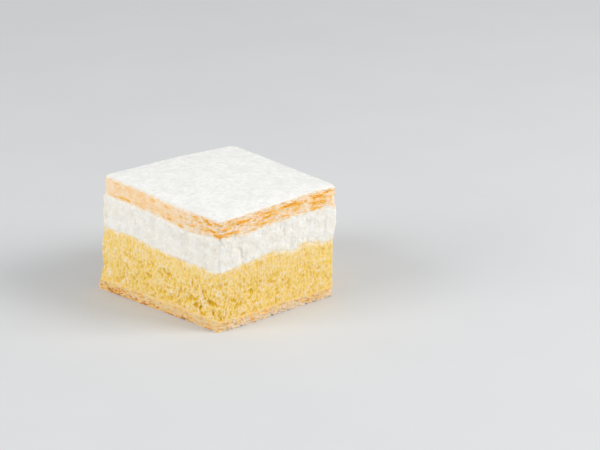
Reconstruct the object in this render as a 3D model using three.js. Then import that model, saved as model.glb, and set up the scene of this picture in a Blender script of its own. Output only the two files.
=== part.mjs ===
/**
 * A slice of mille feuille cut from a tray: a thin puff pastry foot, a thick bed of custard, a band
 * of whipped cream, a puff pastry lid and a skin of icing sugar.
 *
 * Millimetres, +Z up. The origin is the middle of the foot, +X runs along the short side and +Y
 * along the long side. A place in the slice is given as (u, v, z): u and v run from 0 to 1 between
 * the cut faces, so that every layer follows the same slightly crooked cuts.
 */
import * as THREE from 'three';

// ---------------------------------------------------------------------------------------------
// Driving dimensions
// ---------------------------------------------------------------------------------------------

/** Heights at which the corners of the cut are given: the foot, the waist and the brow. */
const CORNER_LEVELS = [0, 26, 50];

/** Plan position of each corner at those heights, in the order round the slice. */
const CORNERS = [
  { name: 'front', u: 0, v: 0, plan: [[-30.2, -36.3], [-29.8, -36.4], [-29.9, -37.0]] },
  { name: 'right', u: 1, v: 0, plan: [[34.0, -36.9], [33.8, -37.5], [35.2, -38.3]] },
  { name: 'back', u: 1, v: 1, plan: [[36.5, 35.4], [36.7, 34.3], [37.1, 33.7]] },
  { name: 'left', u: 0, v: 1, plan: [[-37.0, 38.2], [-34.4, 37.4], [-32.9, 37.3]] },
];

/** Soft outward swells of the cut faces: centre, reach along the face and in height, and size. */
const SWELLS = [
  { u: 0.2, v: 0, z: 3, reach: 0.22, height: 9, out: 0.9 },
  { u: 0, v: 0.32, z: 48, reach: 0.28, height: 11, out: 1.3 },
  { u: 1, v: 0.02, z: 36, reach: 0.14, height: 7, out: 0.5 },
  { u: 0.45, v: 1, z: 46, reach: 0.34, height: 16, out: 1.2 },
  { u: 1, v: 0.55, z: 18, reach: 0.3, height: 14, out: 0.7 },
  { u: 0.6, v: 1, z: 12, reach: 0.2, height: 8, out: -0.7 },
  { u: 0, v: 1, z: 10, reach: 0.12, height: 6, out: -0.7 },
];

/**
 * Upper surface of each layer: height at the front, right, back and left corners, the rise of its
 * middle (crown) and of the middle of its edges (brim), and local humps.
 */
const SURFACES = {
  foot: { corners: [4.5, 4.1, 4.4, 4.3], crown: 0, brim: 0.1, humps: [] },
  custard: {
    corners: [26.3, 25.8, 26.8, 27.5],
    crown: 0,
    brim: 0,
    humps: [
      { u: 0.52, v: 0, reach: 0.3, rise: 3.1 },
      { u: 0.61, v: 0, reach: 0.08, rise: -1.5 },
      { u: 0.76, v: 0, reach: 0.05, rise: 1.4 },
      { u: 0, v: 1, reach: 0.08, rise: 0.7 },
      { u: 0, v: 0.76, reach: 0.15, rise: 1.4 },
      { u: 0, v: 0.38, reach: 0.08, rise: -0.7 },
      { u: 0, v: 0.18, reach: 0.12, rise: -0.7 },
      { u: 1, v: 0.6, reach: 0.3, rise: 1.6 },
      { u: 0.35, v: 1, reach: 0.25, rise: -1.5 },
    ],
  },
  cream: {
    corners: [42.6, 42.0, 42.5, 43.6],
    crown: 0.4,
    brim: 0,
    humps: [
      { u: 0.25, v: 0, reach: 0.2, rise: -1.1 },
      { u: 0.45, v: 0, reach: 0.14, rise: 0.7 },
      { u: 0.75, v: 0, reach: 0.2, rise: 0.9 },
      { u: 0, v: 0.3, reach: 0.18, rise: -1.1 },
      { u: 0, v: 0.26, reach: 0.06, rise: -0.8 },
      { u: 1, v: 0.45, reach: 0.25, rise: -0.8 },
    ],
  },
  lid: {
    corners: [50.1, 49.8, 49.6, 50.9],
    crown: 0.7,
    brim: 0.6,
    humps: [
      { u: 0.14, v: 0, reach: 0.12, rise: -0.3 },
      { u: 0.85, v: 0, reach: 0.27, rise: 1.2 },
      { u: 0, v: 0.35, reach: 0.2, rise: -0.5 },
      { u: 0, v: 1, reach: 0.2, rise: 0.7 },
    ],
  },
};

/** Air left between one layer and the next. */
const SEAM_GAP = 0.3;

/** How far each layer's cut stands out of the common cut face; a minus sign draws it in. */
const OUTSET = { foot: 0.9, custard: 0.3, cream: 0.4, lid: 0.3, sugar: -0.2 };

/** Corner rounding of each layer as a share of the side, in the order of CORNERS. */
const ROUNDING = {
  foot: [0.015, 0.05, 0.03, 0.03],
  custard: [0.015, 0.03, 0.03, 0.02],
  cream: [0.015, 0.03, 0.03, 0.02],
  lid: [0.02, 0.05, 0.05, 0.03],
  sugar: [0.02, 0.07, 0.05, 0.03],
};

/** Columns along each of the four sides of a layer, with one more round each corner. */
const COLUMNS_PER_SIDE = { foot: 34, custard: 26, cream: 24, lid: 36, sugar: 24 };

/** Baked leaves that show at the cut edge of each puff pastry, with their raggedness. */
const FOOT_LEAVES = { count: 3, ragged: 0.7, groove: 0.5, sway: 0.2 };
const LID_LEAVES = { count: 6, ragged: 0.75, groove: 0.85, sway: 0.3 };

/** Share of a leaf's height that is its own edge; the rest is the groove over it. */
const LEAF_EDGE_SHARE = 0.62;

/** Torn custard: rows from top to bottom and how deep its hollows go. */
const CUSTARD_ROWS = 9;
const CUSTARD_HOLLOW = 0.75;

/** Whipped cream: rows and the depth of its soft waves. */
const CREAM_ROWS = 7;
const CREAM_WAVE = 0.35;

/** Icing sugar: thickness at its rim and inside, height of its drifts, and rings of its top. */
const SUGAR_RIM = 0.45;
const SUGAR_DEPTH = 1.0;
const SUGAR_DRIFT = 0.18;
const SUGAR_RINGS = [0.985, 0.95, 0.82, 0.62, 0.38, 0.16];

/** Colour, roughness and metalness of each finish. */
const FINISHES = {
  foot: { color: '#dfb97c', roughness: 0.8, metalness: 0 },
  custard: { color: '#efcf84', roughness: 0.55, metalness: 0 },
  cream: { color: '#efece5', roughness: 0.6, metalness: 0 },
  lid: { color: '#efc98f', roughness: 0.75, metalness: 0 },
  sugar: { color: '#f3f2ef', roughness: 0.95, metalness: 0 },
};

// ---------------------------------------------------------------------------------------------
// Shape of the whole slice
// ---------------------------------------------------------------------------------------------

const TURN = 2 * Math.PI;

/** Bell curve that is 1 at distance 0 and fades over the reach. */
function bell(distance, reach) {
  return Math.exp(-((distance / reach) ** 2));
}

/** Value at (u, v) of four corner values given in the order of CORNERS. */
function acrossCorners(values, u, v) {
  const [front, right, back, left] = values;
  const near = front + (right - front) * u;
  const far = left + (back - left) * u;
  return near + (far - near) * v;
}

/** Height of a layer's upper surface at (u, v). */
function surfaceHeight(surface, u, v) {
  let z = acrossCorners(surface.corners, u, v);
  z += surface.crown * Math.sin(Math.PI * u) * Math.sin(Math.PI * v);
  z += surface.brim * Math.max(Math.sin(Math.PI * u), Math.sin(Math.PI * v));
  for (const hump of surface.humps) {
    z += hump.rise * bell(Math.hypot(u - hump.u, v - hump.v), hump.reach);
  }
  return z;
}

/** Plan position of a corner at height z, between the levels at which it is given. */
function cornerAt(corner, z) {
  const [foot, waist, brow] = CORNER_LEVELS;
  const upper = z > waist;
  const [low, high] = upper ? [waist, brow] : [foot, waist];
  const [from, to] = upper ? corner.plan.slice(1) : corner.plan;
  const share = (z - low) / (high - low);
  return [from[0] + (to[0] - from[0]) * share, from[1] + (to[1] - from[1]) * share];
}

/** Point of the slice at (u, v, z), moved out of the slice by outset. */
function slicePoint(u, v, z, outset) {
  const corners = CORNERS.map((corner) => cornerAt(corner, z));
  const x = acrossCorners(corners.map((corner) => corner[0]), u, v);
  const y = acrossCorners(corners.map((corner) => corner[1]), u, v);
  let out = outset;
  for (const swell of SWELLS) {
    const along = Math.hypot(u - swell.u, v - swell.v);
    out += swell.out * bell(along, swell.reach) * bell(z - swell.z, swell.height);
  }
  const towards = new THREE.Vector2(u - 0.5, v - 0.5);
  const reach = Math.max(Math.abs(towards.x), Math.abs(towards.y));
  towards.multiplyScalar(out / Math.max(reach, 0.5));
  return new THREE.Vector3(x + towards.x, y + towards.y, z);
}

/**
 * Stations round a layer: evenly spaced along each side, with one at the middle of each rounded
 * corner. Each has its (u, v) and its share of the way round, from 0 to 1.
 */
function stationsRound(perSide, rounding) {
  const stations = [];
  CORNERS.forEach((corner, index) => {
    const next = CORNERS[(index + 1) % CORNERS.length];
    const start = rounding[index];
    const end = 1 - rounding[(index + 1) % CORNERS.length];
    for (let k = 0; k < perSide; k += 1) {
      const t = start + ((end - start) * k) / (perSide - 1);
      stations.push({
        u: corner.u + (next.u - corner.u) * t,
        v: corner.v + (next.v - corner.v) * t,
        round: (index + t) / CORNERS.length,
      });
    }
    const inset = (1 - Math.SQRT1_2) * rounding[(index + 1) % CORNERS.length];
    stations.push({
      u: next.u + (0.5 - next.u) * 2 * inset,
      v: next.v + (0.5 - next.v) * 2 * inset,
      round: (index + 1) / CORNERS.length,
    });
  });
  return stations;
}

/** Uneven wave from -1 to 1 that closes on itself round the slice. */
function ripple(round, seed, counts) {
  let sum = 0;
  counts.forEach((count, k) => {
    sum += Math.sin(TURN * count * round + seed * (1.7 + 1.3 * k));
  });
  return sum / counts.length;
}

// ---------------------------------------------------------------------------------------------
// Rows of the cut faces: a share of the layer's height and how far the face is drawn in there
// ---------------------------------------------------------------------------------------------

const COARSE = [7, 17, 29];
const FINE = [23, 41, 59];

/** Rows of a baked edge: each leaf has a ragged edge, and a groove parts it from the next. */
function leafRows(leaves, seed) {
  const rows = [];
  const sway = (round) => leaves.sway * ripple(round, seed, COARSE);
  for (let leaf = 0; leaf < leaves.count; leaf += 1) {
    const drawIn = (round) => leaves.ragged * (0.5 + 0.5 * ripple(round, seed + 3.1 * leaf, FINE));
    const low = leaf / leaves.count;
    const high = (leaf + LEAF_EDGE_SHARE) / leaves.count;
    rows.push({ share: low, drawIn, sway });
    rows.push({ share: leaf === leaves.count - 1 ? 1 : high, drawIn, sway });
    if (leaf < leaves.count - 1) {
      const middle = (leaf + (1 + LEAF_EDGE_SHARE) / 2) / leaves.count;
      const open = (round) => 0.6 + 0.4 * ripple(round, seed + 5.3 * leaf, COARSE);
      const groove = (round) => drawIn(round) + leaves.groove * open(round);
      rows.push({ share: middle, drawIn: groove, sway });
    }
  }
  return rows;
}

/** Rows of a torn or smeared face whose hollows lie at random along it and up it. */
function tornRows(count, hollow, seed) {
  return Array.from({ length: count }, (_, row) => {
    const share = row / (count - 1);
    const drawIn = (round) => {
      const broad = ripple(round + 0.013 * row, seed + row * 0.9, COARSE);
      const sharp = ripple(round, seed + row * 2.3, FINE);
      return hollow * (0.4 + 0.25 * broad + 0.35 * sharp);
    };
    return { share, drawIn, sway: () => 0 };
  });
}

// ---------------------------------------------------------------------------------------------
// Closed layers
// ---------------------------------------------------------------------------------------------

/** Indices of the band of triangles between two closed loops of equal length. */
function bandBetween(lower, upper, length) {
  const indices = [];
  for (let k = 0; k < length; k += 1) {
    const next = (k + 1) % length;
    indices.push(lower + k, lower + next, upper + next);
    indices.push(lower + k, upper + next, upper + k);
  }
  return indices;
}

/** Indices of the fan from a closed loop to one point; the loop is seen from outside. */
function fanTo(loop, point, length, upwards) {
  const indices = [];
  for (let k = 0; k < length; k += 1) {
    const next = (k + 1) % length;
    indices.push(...(upwards ? [loop + k, loop + next, point] : [loop + next, loop + k, point]));
  }
  return indices;
}

/** Geometry of a closed body: a floor point, loops from bottom to top, and a roof point. */
function closedBody(loops, floorPoint, roofPoint, seat) {
  const length = loops[0].length;
  const points = [...loops.flat(), floorPoint, roofPoint];
  const floor = points.length - 2;
  const indices = fanTo(0, floor, length, false);
  for (let row = 1; row < loops.length; row += 1) {
    indices.push(...bandBetween((row - 1) * length, row * length, length));
  }
  indices.push(...fanTo((loops.length - 1) * length, floor + 1, length, true));
  const geometry = new THREE.BufferGeometry().setFromPoints(points);
  geometry.setIndex(indices);
  geometry.translate(0, 0, -seat);
  geometry.computeVertexNormals();
  return geometry;
}

/** Named mesh of a layer, seated at its own height in the stack. */
function layerMesh(name, finish, geometry, seat) {
  const mesh = new THREE.Mesh(geometry, new THREE.MeshStandardMaterial(FINISHES[finish]));
  mesh.name = name;
  mesh.position.z = seat;
  return mesh;
}

/** Height of a layer's floor: the surface below it, and the gap over that surface. */
function floorOver(below) {
  return (u, v) => (below ? surfaceHeight(below, u, v) + SEAM_GAP : 0);
}

/** One layer between the surface below it and its own surface. */
function makeLayer(name, key, below, rows) {
  const surface = SURFACES[key];
  const floorAt = floorOver(below);
  const stations = stationsRound(COLUMNS_PER_SIDE[key], ROUNDING[key]);
  const loops = rows.map((row) => stations.map(({ u, v, round }) => {
    const low = floorAt(u, v);
    const high = surfaceHeight(surface, u, v);
    const inside = row.share > 0 && row.share < 1;
    const z = low + (high - low) * row.share + (inside ? row.sway(round) : 0);
    return slicePoint(u, v, z, OUTSET[key] - row.drawIn(round));
  }));
  const floorPoint = slicePoint(0.5, 0.5, floorAt(0.5, 0.5), 0);
  const roofPoint = slicePoint(0.5, 0.5, surfaceHeight(surface, 0.5, 0.5), 0);
  const seat = floorAt(0.5, 0.5);
  return layerMesh(name, key, closedBody(loops, floorPoint, roofPoint, seat), seat);
}

/** The skin of icing sugar: a thin ragged rim, and a top of soft drifts. */
function makeIcingSugar() {
  const floorAt = floorOver(SURFACES.lid);
  const stations = stationsRound(COLUMNS_PER_SIDE.sugar, ROUNDING.sugar);
  const edge = (round) => OUTSET.sugar + 0.45 * ripple(round, 4.2, FINE);
  const drift = (u, v) => SUGAR_DRIFT * (
    Math.sin(11.3 * u + 5.1 * v + 0.4) + Math.sin(17.9 * v - 7.7 * u + 1.9) + Math.sin(23 * u + 2.2)
  );
  const rim = (height) => stations.map(({ u, v, round }) => (
    slicePoint(u, v, floorAt(u, v) + height, edge(round))
  ));
  const rings = SUGAR_RINGS.map((scale) => stations.map((station) => {
    const u = 0.5 + (station.u - 0.5) * scale;
    const v = 0.5 + (station.v - 0.5) * scale;
    const z = floorAt(u, v) + SUGAR_DEPTH + drift(u, v) * Math.min(1, (1 - scale) * 20);
    return slicePoint(u, v, z, edge(station.round) * scale);
  }));
  const seat = floorAt(0.5, 0.5);
  const floorPoint = slicePoint(0.5, 0.5, seat, 0);
  const roofPoint = slicePoint(0.5, 0.5, seat + SUGAR_DEPTH + drift(0.5, 0.5), 0);
  const loops = [rim(0), rim(SUGAR_RIM), ...rings];
  return layerMesh('icing_sugar', 'sugar', closedBody(loops, floorPoint, roofPoint, seat), seat);
}

// ---------------------------------------------------------------------------------------------
// The slice
// ---------------------------------------------------------------------------------------------

const slice = new THREE.Group();
slice.add(
  makeLayer('bottom_pastry', 'foot', null, leafRows(FOOT_LEAVES, 1.3)),
  makeLayer('custard', 'custard', SURFACES.foot, tornRows(CUSTARD_ROWS, CUSTARD_HOLLOW, 2.4)),
  makeLayer('whipped_cream', 'cream', SURFACES.custard, tornRows(CREAM_ROWS, CREAM_WAVE, 6.1)),
  makeLayer('top_pastry', 'lid', SURFACES.cream, leafRows(LID_LEAVES, 7.7)),
  makeIcingSugar(),
);

export default slice;
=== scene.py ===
"""Looks of a mille feuille slice: torn custard, whipped cream, leafy puff pastry and icing sugar.

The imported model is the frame. Every layer of it is replaced by a finely modelled mesh that follows
the same cuts and the same surfaces between the layers. The form of such small food is worked out in
millimetres, and each mesh is scaled to metres when it is built.
"""

import itertools
import logging
import math
from dataclasses import dataclass, field
from enum import Enum
from typing import ClassVar, Protocol, Sequence

import bpy
import numpy as np
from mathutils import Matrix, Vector


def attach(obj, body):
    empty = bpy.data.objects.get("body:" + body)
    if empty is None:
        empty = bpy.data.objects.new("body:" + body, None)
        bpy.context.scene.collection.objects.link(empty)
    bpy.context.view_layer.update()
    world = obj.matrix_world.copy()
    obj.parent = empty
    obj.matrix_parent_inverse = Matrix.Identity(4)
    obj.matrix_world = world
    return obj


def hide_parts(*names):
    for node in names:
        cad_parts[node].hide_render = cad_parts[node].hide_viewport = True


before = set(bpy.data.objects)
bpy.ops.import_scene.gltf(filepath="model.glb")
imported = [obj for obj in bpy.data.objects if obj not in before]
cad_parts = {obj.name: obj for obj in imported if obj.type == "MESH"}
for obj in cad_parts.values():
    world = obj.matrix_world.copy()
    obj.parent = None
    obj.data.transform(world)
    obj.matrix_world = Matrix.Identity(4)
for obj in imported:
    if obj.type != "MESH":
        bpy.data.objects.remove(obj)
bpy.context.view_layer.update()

Array = np.ndarray
Colour = tuple[float, float, float]
Socket = bpy.types.NodeSocket

UP = np.array((0.0, 0.0, 1.0))
MM = 0.001
BODY = "root"
log = logging.getLogger("mille_feuille")


# ---- Form of the slice, in millimetres ----


class Face(Enum):
    """The four cut faces, in order round the slice from its front corner."""

    FRONT_RIGHT = 0
    BACK_RIGHT = 1
    BACK_LEFT = 2
    FRONT_LEFT = 3


@dataclass(frozen=True)
class Corner:
    """A corner of the cut: its place in (u, v) and its plan position at foot, waist and brow."""

    u: float
    v: float
    plan: tuple[tuple[float, float], ...]


@dataclass(frozen=True)
class Swell:
    """A soft outward swell of a cut face."""

    u: float
    v: float
    z: float
    reach: float
    height: float
    out: float


@dataclass(frozen=True)
class Hump:
    """A local rise of the surface between two layers."""

    u: float
    v: float
    reach: float
    rise: float


@dataclass(frozen=True)
class Surface:
    """Upper surface of a layer: corner heights, rise of its middle and edges, and humps."""

    corners: tuple[float, float, float, float]
    crown: float = 0.0
    brim: float = 0.0
    humps: tuple[Hump, ...] = ()


LEVELS = (0.0, 26.0, 50.0)
SHORT_SIDE = 66.0
LONG_SIDE = 74.0

CORNERS = (
    Corner(0, 0, ((-30.2, -36.3), (-29.8, -36.4), (-29.9, -37.0))),
    Corner(1, 0, ((34.0, -36.9), (33.8, -37.5), (35.2, -38.3))),
    Corner(1, 1, ((36.5, 35.4), (36.7, 34.3), (37.1, 33.7))),
    Corner(0, 1, ((-37.0, 38.2), (-34.4, 37.4), (-32.9, 37.3))),
)

SWELLS = (
    Swell(u=0.2, v=0, z=3, reach=0.22, height=9, out=0.9),
    Swell(u=0, v=0.32, z=48, reach=0.28, height=11, out=1.3),
    Swell(u=1, v=0.02, z=36, reach=0.14, height=7, out=0.5),
    Swell(u=0.45, v=1, z=46, reach=0.34, height=16, out=1.2),
    Swell(u=1, v=0.55, z=18, reach=0.3, height=14, out=0.7),
    Swell(u=0.6, v=1, z=12, reach=0.2, height=8, out=-0.7),
    Swell(u=0, v=1, z=10, reach=0.12, height=6, out=-0.7),
)

FOOT_TOP = Surface(corners=(4.5, 4.1, 4.4, 4.3), brim=0.1)
CUSTARD_TOP = Surface(
    corners=(26.3, 25.8, 26.8, 27.5),
    humps=(
        Hump(u=0.52, v=0, reach=0.3, rise=3.1),
        Hump(u=0.61, v=0, reach=0.08, rise=-1.5),
        Hump(u=0.76, v=0, reach=0.05, rise=1.4),
        Hump(u=0, v=1, reach=0.08, rise=0.7),
        Hump(u=0, v=0.76, reach=0.15, rise=1.4),
        Hump(u=0, v=0.38, reach=0.08, rise=-0.7),
        Hump(u=0, v=0.18, reach=0.12, rise=-0.7),
        Hump(u=1, v=0.6, reach=0.3, rise=1.6),
        Hump(u=0.35, v=1, reach=0.25, rise=-1.5),
    ),
)
CREAM_TOP = Surface(
    corners=(42.6, 42.0, 42.5, 43.6),
    crown=0.4,
    humps=(
        Hump(u=0.25, v=0, reach=0.2, rise=-1.1),
        Hump(u=0.45, v=0, reach=0.14, rise=0.7),
        Hump(u=0.75, v=0, reach=0.2, rise=0.9),
        Hump(u=0, v=0.3, reach=0.18, rise=-1.1),
        Hump(u=0, v=0.26, reach=0.06, rise=-0.8),
        Hump(u=1, v=0.45, reach=0.25, rise=-0.8),
    ),
)
LID_TOP = Surface(
    corners=(50.1, 49.8, 49.6, 50.9),
    crown=0.7,
    brim=0.6,
    humps=(
        Hump(u=0.14, v=0, reach=0.12, rise=-0.3),
        Hump(u=0.85, v=0, reach=0.27, rise=1.2),
        Hump(u=0, v=0.35, reach=0.2, rise=-0.5),
        Hump(u=0, v=1, reach=0.2, rise=0.7),
    ),
)


@dataclass(frozen=True)
class Stations:
    """Places round the edge of a layer, as arrays: (u, v), the face and the way along it."""

    u: Array
    v: Array
    face: Array
    along: Array

    @property
    def count(self) -> int:
        """Number of stations."""
        return len(self.u)

    def on(self, face: Face) -> Array:
        """Which stations are on a face."""
        return self.face == face.value

    def only(self, index: int) -> "Stations":
        """One station alone."""
        part = slice(index, index + 1)
        return Stations(self.u[part], self.v[part], self.face[part], self.along[part])


@dataclass(frozen=True)
class SliceForm:
    """The crooked block that all layers are cut from."""

    corners: tuple[Corner, ...] = CORNERS
    levels: tuple[float, float, float] = LEVELS
    swells: tuple[Swell, ...] = SWELLS

    @staticmethod
    def across(values: Sequence[Array | float], u: Array, v: Array) -> Array:
        """Value at (u, v) between four corner values.

        Args:
            values: Values at the corners, in order round the slice.
            u: Shares along the short side.
            v: Shares along the long side.

        Returns:
            The values between them.
        """
        front, right, back, left = values
        near = front + (right - front) * u
        far = left + (back - left) * u
        return near + (far - near) * v

    def height(self, surface: Surface, u: Array, v: Array) -> Array:
        """Height of a surface at (u, v).

        Args:
            surface: The upper surface of a layer.
            u: Shares along the short side.
            v: Shares along the long side.

        Returns:
            Heights over the plate.
        """
        arch_u, arch_v = np.sin(np.pi * u), np.sin(np.pi * v)
        z = self.across(surface.corners, u, v)
        z = z + surface.crown * arch_u * arch_v + surface.brim * np.maximum(arch_u, arch_v)
        for hump in surface.humps:
            away = np.hypot(u - hump.u, v - hump.v)
            z = z + hump.rise * np.exp(-((away / hump.reach) ** 2))
        return z

    def point(self, u: Array, v: Array, z: Array, out: Array | float) -> Array:
        """Points of the slice.

        Args:
            u: Shares along the short side.
            v: Shares along the long side.
            z: Heights.
            out: How far each point is moved out of the slice.

        Returns:
            An array of points, one row each.
        """
        foot, waist, brow = self.levels
        upper = z > waist
        share = np.where(upper, (z - waist) / (brow - waist), (z - foot) / (waist - foot))
        plan = []
        for axis in (0, 1):
            at_corners = []
            for corner in self.corners:
                low, mid, high = (place[axis] for place in corner.plan)
                start, end = np.where(upper, mid, low), np.where(upper, high, mid)
                at_corners.append(start + (end - start) * share)
            plan.append(self.across(at_corners, u, v))
        for swell in self.swells:
            away = np.hypot(u - swell.u, v - swell.v) / swell.reach
            rise = (z - swell.z) / swell.height
            out = out + swell.out * np.exp(-(away**2) - rise**2)
        side = np.maximum(np.maximum(np.abs(u - 0.5), np.abs(v - 0.5)), 0.5)
        x = plan[0] + (u - 0.5) / side * out
        y = plan[1] + (v - 0.5) / side * out
        return np.stack(np.broadcast_arrays(x, y, z), axis=-1)

    def left_corner(self, z: Array) -> Array:
        """The left corner of the cut at a height, given as an array of one."""
        return self.point(np.array([0.0]), np.array([1.0]), z, 0.0)[0]

    def stations(self, per_side: int, per_corner: int, rounding: Sequence[float]) -> Stations:
        """Stations round the edge, evenly spaced along the sides and round each corner.

        Args:
            per_side: Stations along each straight side.
            per_corner: Stations round each corner between two sides.
            rounding: Radius of each corner, as a share of the side.

        Returns:
            The stations, in order round the slice.
        """
        u, v, face, along = [], [], [], []
        for index, corner in enumerate(self.corners):
            after = (index + 1) % len(self.corners)
            end = self.corners[after]
            run = np.array((end.u - corner.u, end.v - corner.v))
            outward = np.array((run[1], -run[0]))
            straight = np.linspace(rounding[index], 1 - rounding[after], per_side)
            start = np.array((corner.u, corner.v))
            line = start + straight[:, None] * run
            centre = start + (1 - rounding[after]) * run - rounding[after] * outward
            turn = np.linspace(0, np.pi / 2, per_corner + 2)[1:-1, None]
            arc = centre + rounding[after] * (np.cos(turn) * outward + np.sin(turn) * run)
            places = np.concatenate((line, arc))
            u.append(places[:, 0])
            v.append(places[:, 1])
            face.append(np.full(len(places), index))
            along.append(np.clip((places - start) @ run, 0, 1))
        return Stations(*(np.concatenate(part) for part in (u, v, face, along)))


# ---- Seeded noise ----


class Grain:
    """Seeded noise over points in space, the same at every run."""

    SIZE = 256
    GAIN = 1.6
    SHIFT = 17.3
    RIDGE_SHIFT = 9.1
    BEYOND_ANY_SPOT = 9.0

    def __init__(self, seed: int) -> None:
        """Draws the lattice.

        Args:
            seed: Seed of the draw.
        """
        rng = np.random.default_rng(seed)
        self._order = rng.permutation(self.SIZE)
        slopes = rng.normal(size=(self.SIZE, 3))
        self._slopes = slopes / np.linalg.norm(slopes, axis=1, keepdims=True)
        self._spots = rng.random((self.SIZE, 3))
        self._draws = rng.random(self.SIZE)

    def _pick(self, cell: Array) -> Array:
        """Lattice entry of each cell."""
        x, y, z = (cell[..., axis] % self.SIZE for axis in range(3))
        return self._order[(self._order[(self._order[x] + y) % self.SIZE] + z) % self.SIZE]

    def wave(self, points: Array) -> Array:
        """Smooth noise of about -1 to 1 with features one unit across.

        Args:
            points: Points, one row each.

        Returns:
            One value for each point.
        """
        cell = np.floor(points).astype(int)
        inside = points - cell
        fade = inside**3 * (inside * (inside * 6 - 15) + 10)
        total = np.zeros(points.shape[:-1])
        for corner in itertools.product((0, 1), repeat=3):
            slopes = self._slopes[self._pick(cell + corner)]
            lean = ((inside - corner) * slopes).sum(axis=-1)
            weight = np.where(np.array(corner, bool), fade, 1 - fade).prod(axis=-1)
            total += lean * weight
        return total * self.GAIN

    def rough(self, points: Array, octaves: int) -> Array:
        """Sum of finer and finer waves, of about -1 to 1."""
        parts = [self.wave(points * 2**k + self.SHIFT * k) * 0.5**k for k in range(octaves)]
        return sum(parts) / (2 - 0.5 ** (octaves - 1))

    def ridges(self, points: Array, octaves: int) -> Array:
        """Sharp crests of 0 to 1 over broad hollows.

        Args:
            points: Points, one row each.
            octaves: Number of finer and finer waves.

        Returns:
            One value for each point.
        """
        waves = [self.wave(points * 2**k + self.RIDGE_SHIFT * k) for k in range(octaves)]
        parts = [(1 - np.abs(wave)) ** 2 * 0.5**k for k, wave in enumerate(waves)]
        return sum(parts) / (2 - 0.5 ** (octaves - 1))

    def cells(self, points: Array) -> tuple[Array, Array]:
        """Nearest of one spot in each unit cell.

        Args:
            points: Points, one row each.

        Returns:
            The distance to the nearest spot, and that spot's own draw from 0 to 1.
        """
        cell = np.floor(points).astype(int)
        nearest = np.full(points.shape[:-1], self.BEYOND_ANY_SPOT)
        draw = np.zeros(points.shape[:-1])
        for step in itertools.product((-1, 0, 1), repeat=3):
            entry = self._pick(cell + step)
            away = np.linalg.norm(cell + step + self._spots[entry] - points, axis=-1)
            closer = away < nearest
            nearest = np.where(closer, away, nearest)
            draw = np.where(closer, self._draws[entry], draw)
        return nearest, draw


@dataclass(frozen=True)
class Texture:
    """Noise of one kind on a layer.

    Attributes:
        size: Width of its features in millimetres, for all axes or for each.
        seed: Its own seed, to which a layer may add another.
        octaves: Number of finer and finer waves in it.
        squeeze: How much narrower its features are along X, Y and Z.
        shift: How far it is moved, in features.
        strength: Largest value of its waves.
    """

    size: float | tuple[float, float, float]
    seed: int = 0
    octaves: int = 3
    squeeze: tuple[float, float, float] = (1.0, 1.0, 1.0)
    shift: float = 0.0
    strength: float = 1.0

    def _places(self, points: Array) -> Array:
        """Points on the scale of the noise."""
        return points * self.squeeze / self.size + self.shift

    def _waves(self, points: Array, seed: int) -> Array:
        """Its waves, of about -1 to 1."""
        return Grain(self.seed + seed).rough(self._places(points), self.octaves)

    def rough(self, points: Array, seed: int = 0) -> Array:
        """Its waves at points, to both sides of 0."""
        return self.strength * self._waves(points, seed)

    def pits(self, low: float, high: float, points: Array, seed: int = 0) -> Array:
        """Pits of 0 to its strength, where its waves rise from low to high."""
        return self.strength * smooth(low, high, self._waves(points, seed))

    def ridges(self, points: Array, seed: int = 0) -> Array:
        """Sharp crests of 0 to 1 over broad hollows."""
        return Grain(self.seed + seed).ridges(self._places(points), self.octaves)

    def hollows(self, points: Array, seed: int = 0) -> Array:
        """Broad hollows of 0 to its strength between sharp crests."""
        return self.strength * (1 - self.ridges(points, seed))

    def cells(self, points: Array, seed: int = 0) -> tuple[Array, Array]:
        """Distance to the nearest of its spots, and that spot's draw from 0 to 1."""
        return Grain(self.seed + seed).cells(self._places(points))


def smooth(low: float, high: float, values: Array) -> Array:
    """Soft step from 0 at low to 1 at high."""
    share = np.clip((values - low) / (high - low), 0, 1)
    return share * share * (3 - 2 * share)


def blurred(grid: Array, steps: int) -> Array:
    """A grid (rows by columns round the slice) averaged over its neighbours.

    Args:
        grid: Values, whose columns close on themselves.
        steps: How often each value is averaged with its neighbours.

    Returns:
        The blurred grid.
    """
    for _ in range(steps):
        grid = (grid + np.roll(grid, 1, axis=1) + np.roll(grid, -1, axis=1)) / 3
        padded = np.concatenate((grid[:1], grid, grid[-1:]))
        grid = (padded[:-2] + padded[1:-1] + padded[2:]) / 3
    return grid


def bent(points: Array, seed: int, size: float, reach: float) -> Array:
    """Points moved by smooth waves, so that a texture on them loses its straight lines.

    Args:
        points: Points, one row each.
        seed: Seed of the waves along X; the next two are those along Y and Z.
        size: Width of the waves.
        reach: How far they move a point at most.

    Returns:
        The moved points.
    """
    waves = [Grain(seed + axis).wave(points / size) for axis in range(3)]
    return points + reach * np.stack(waves, axis=-1)


# ---- Meshes ----


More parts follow.
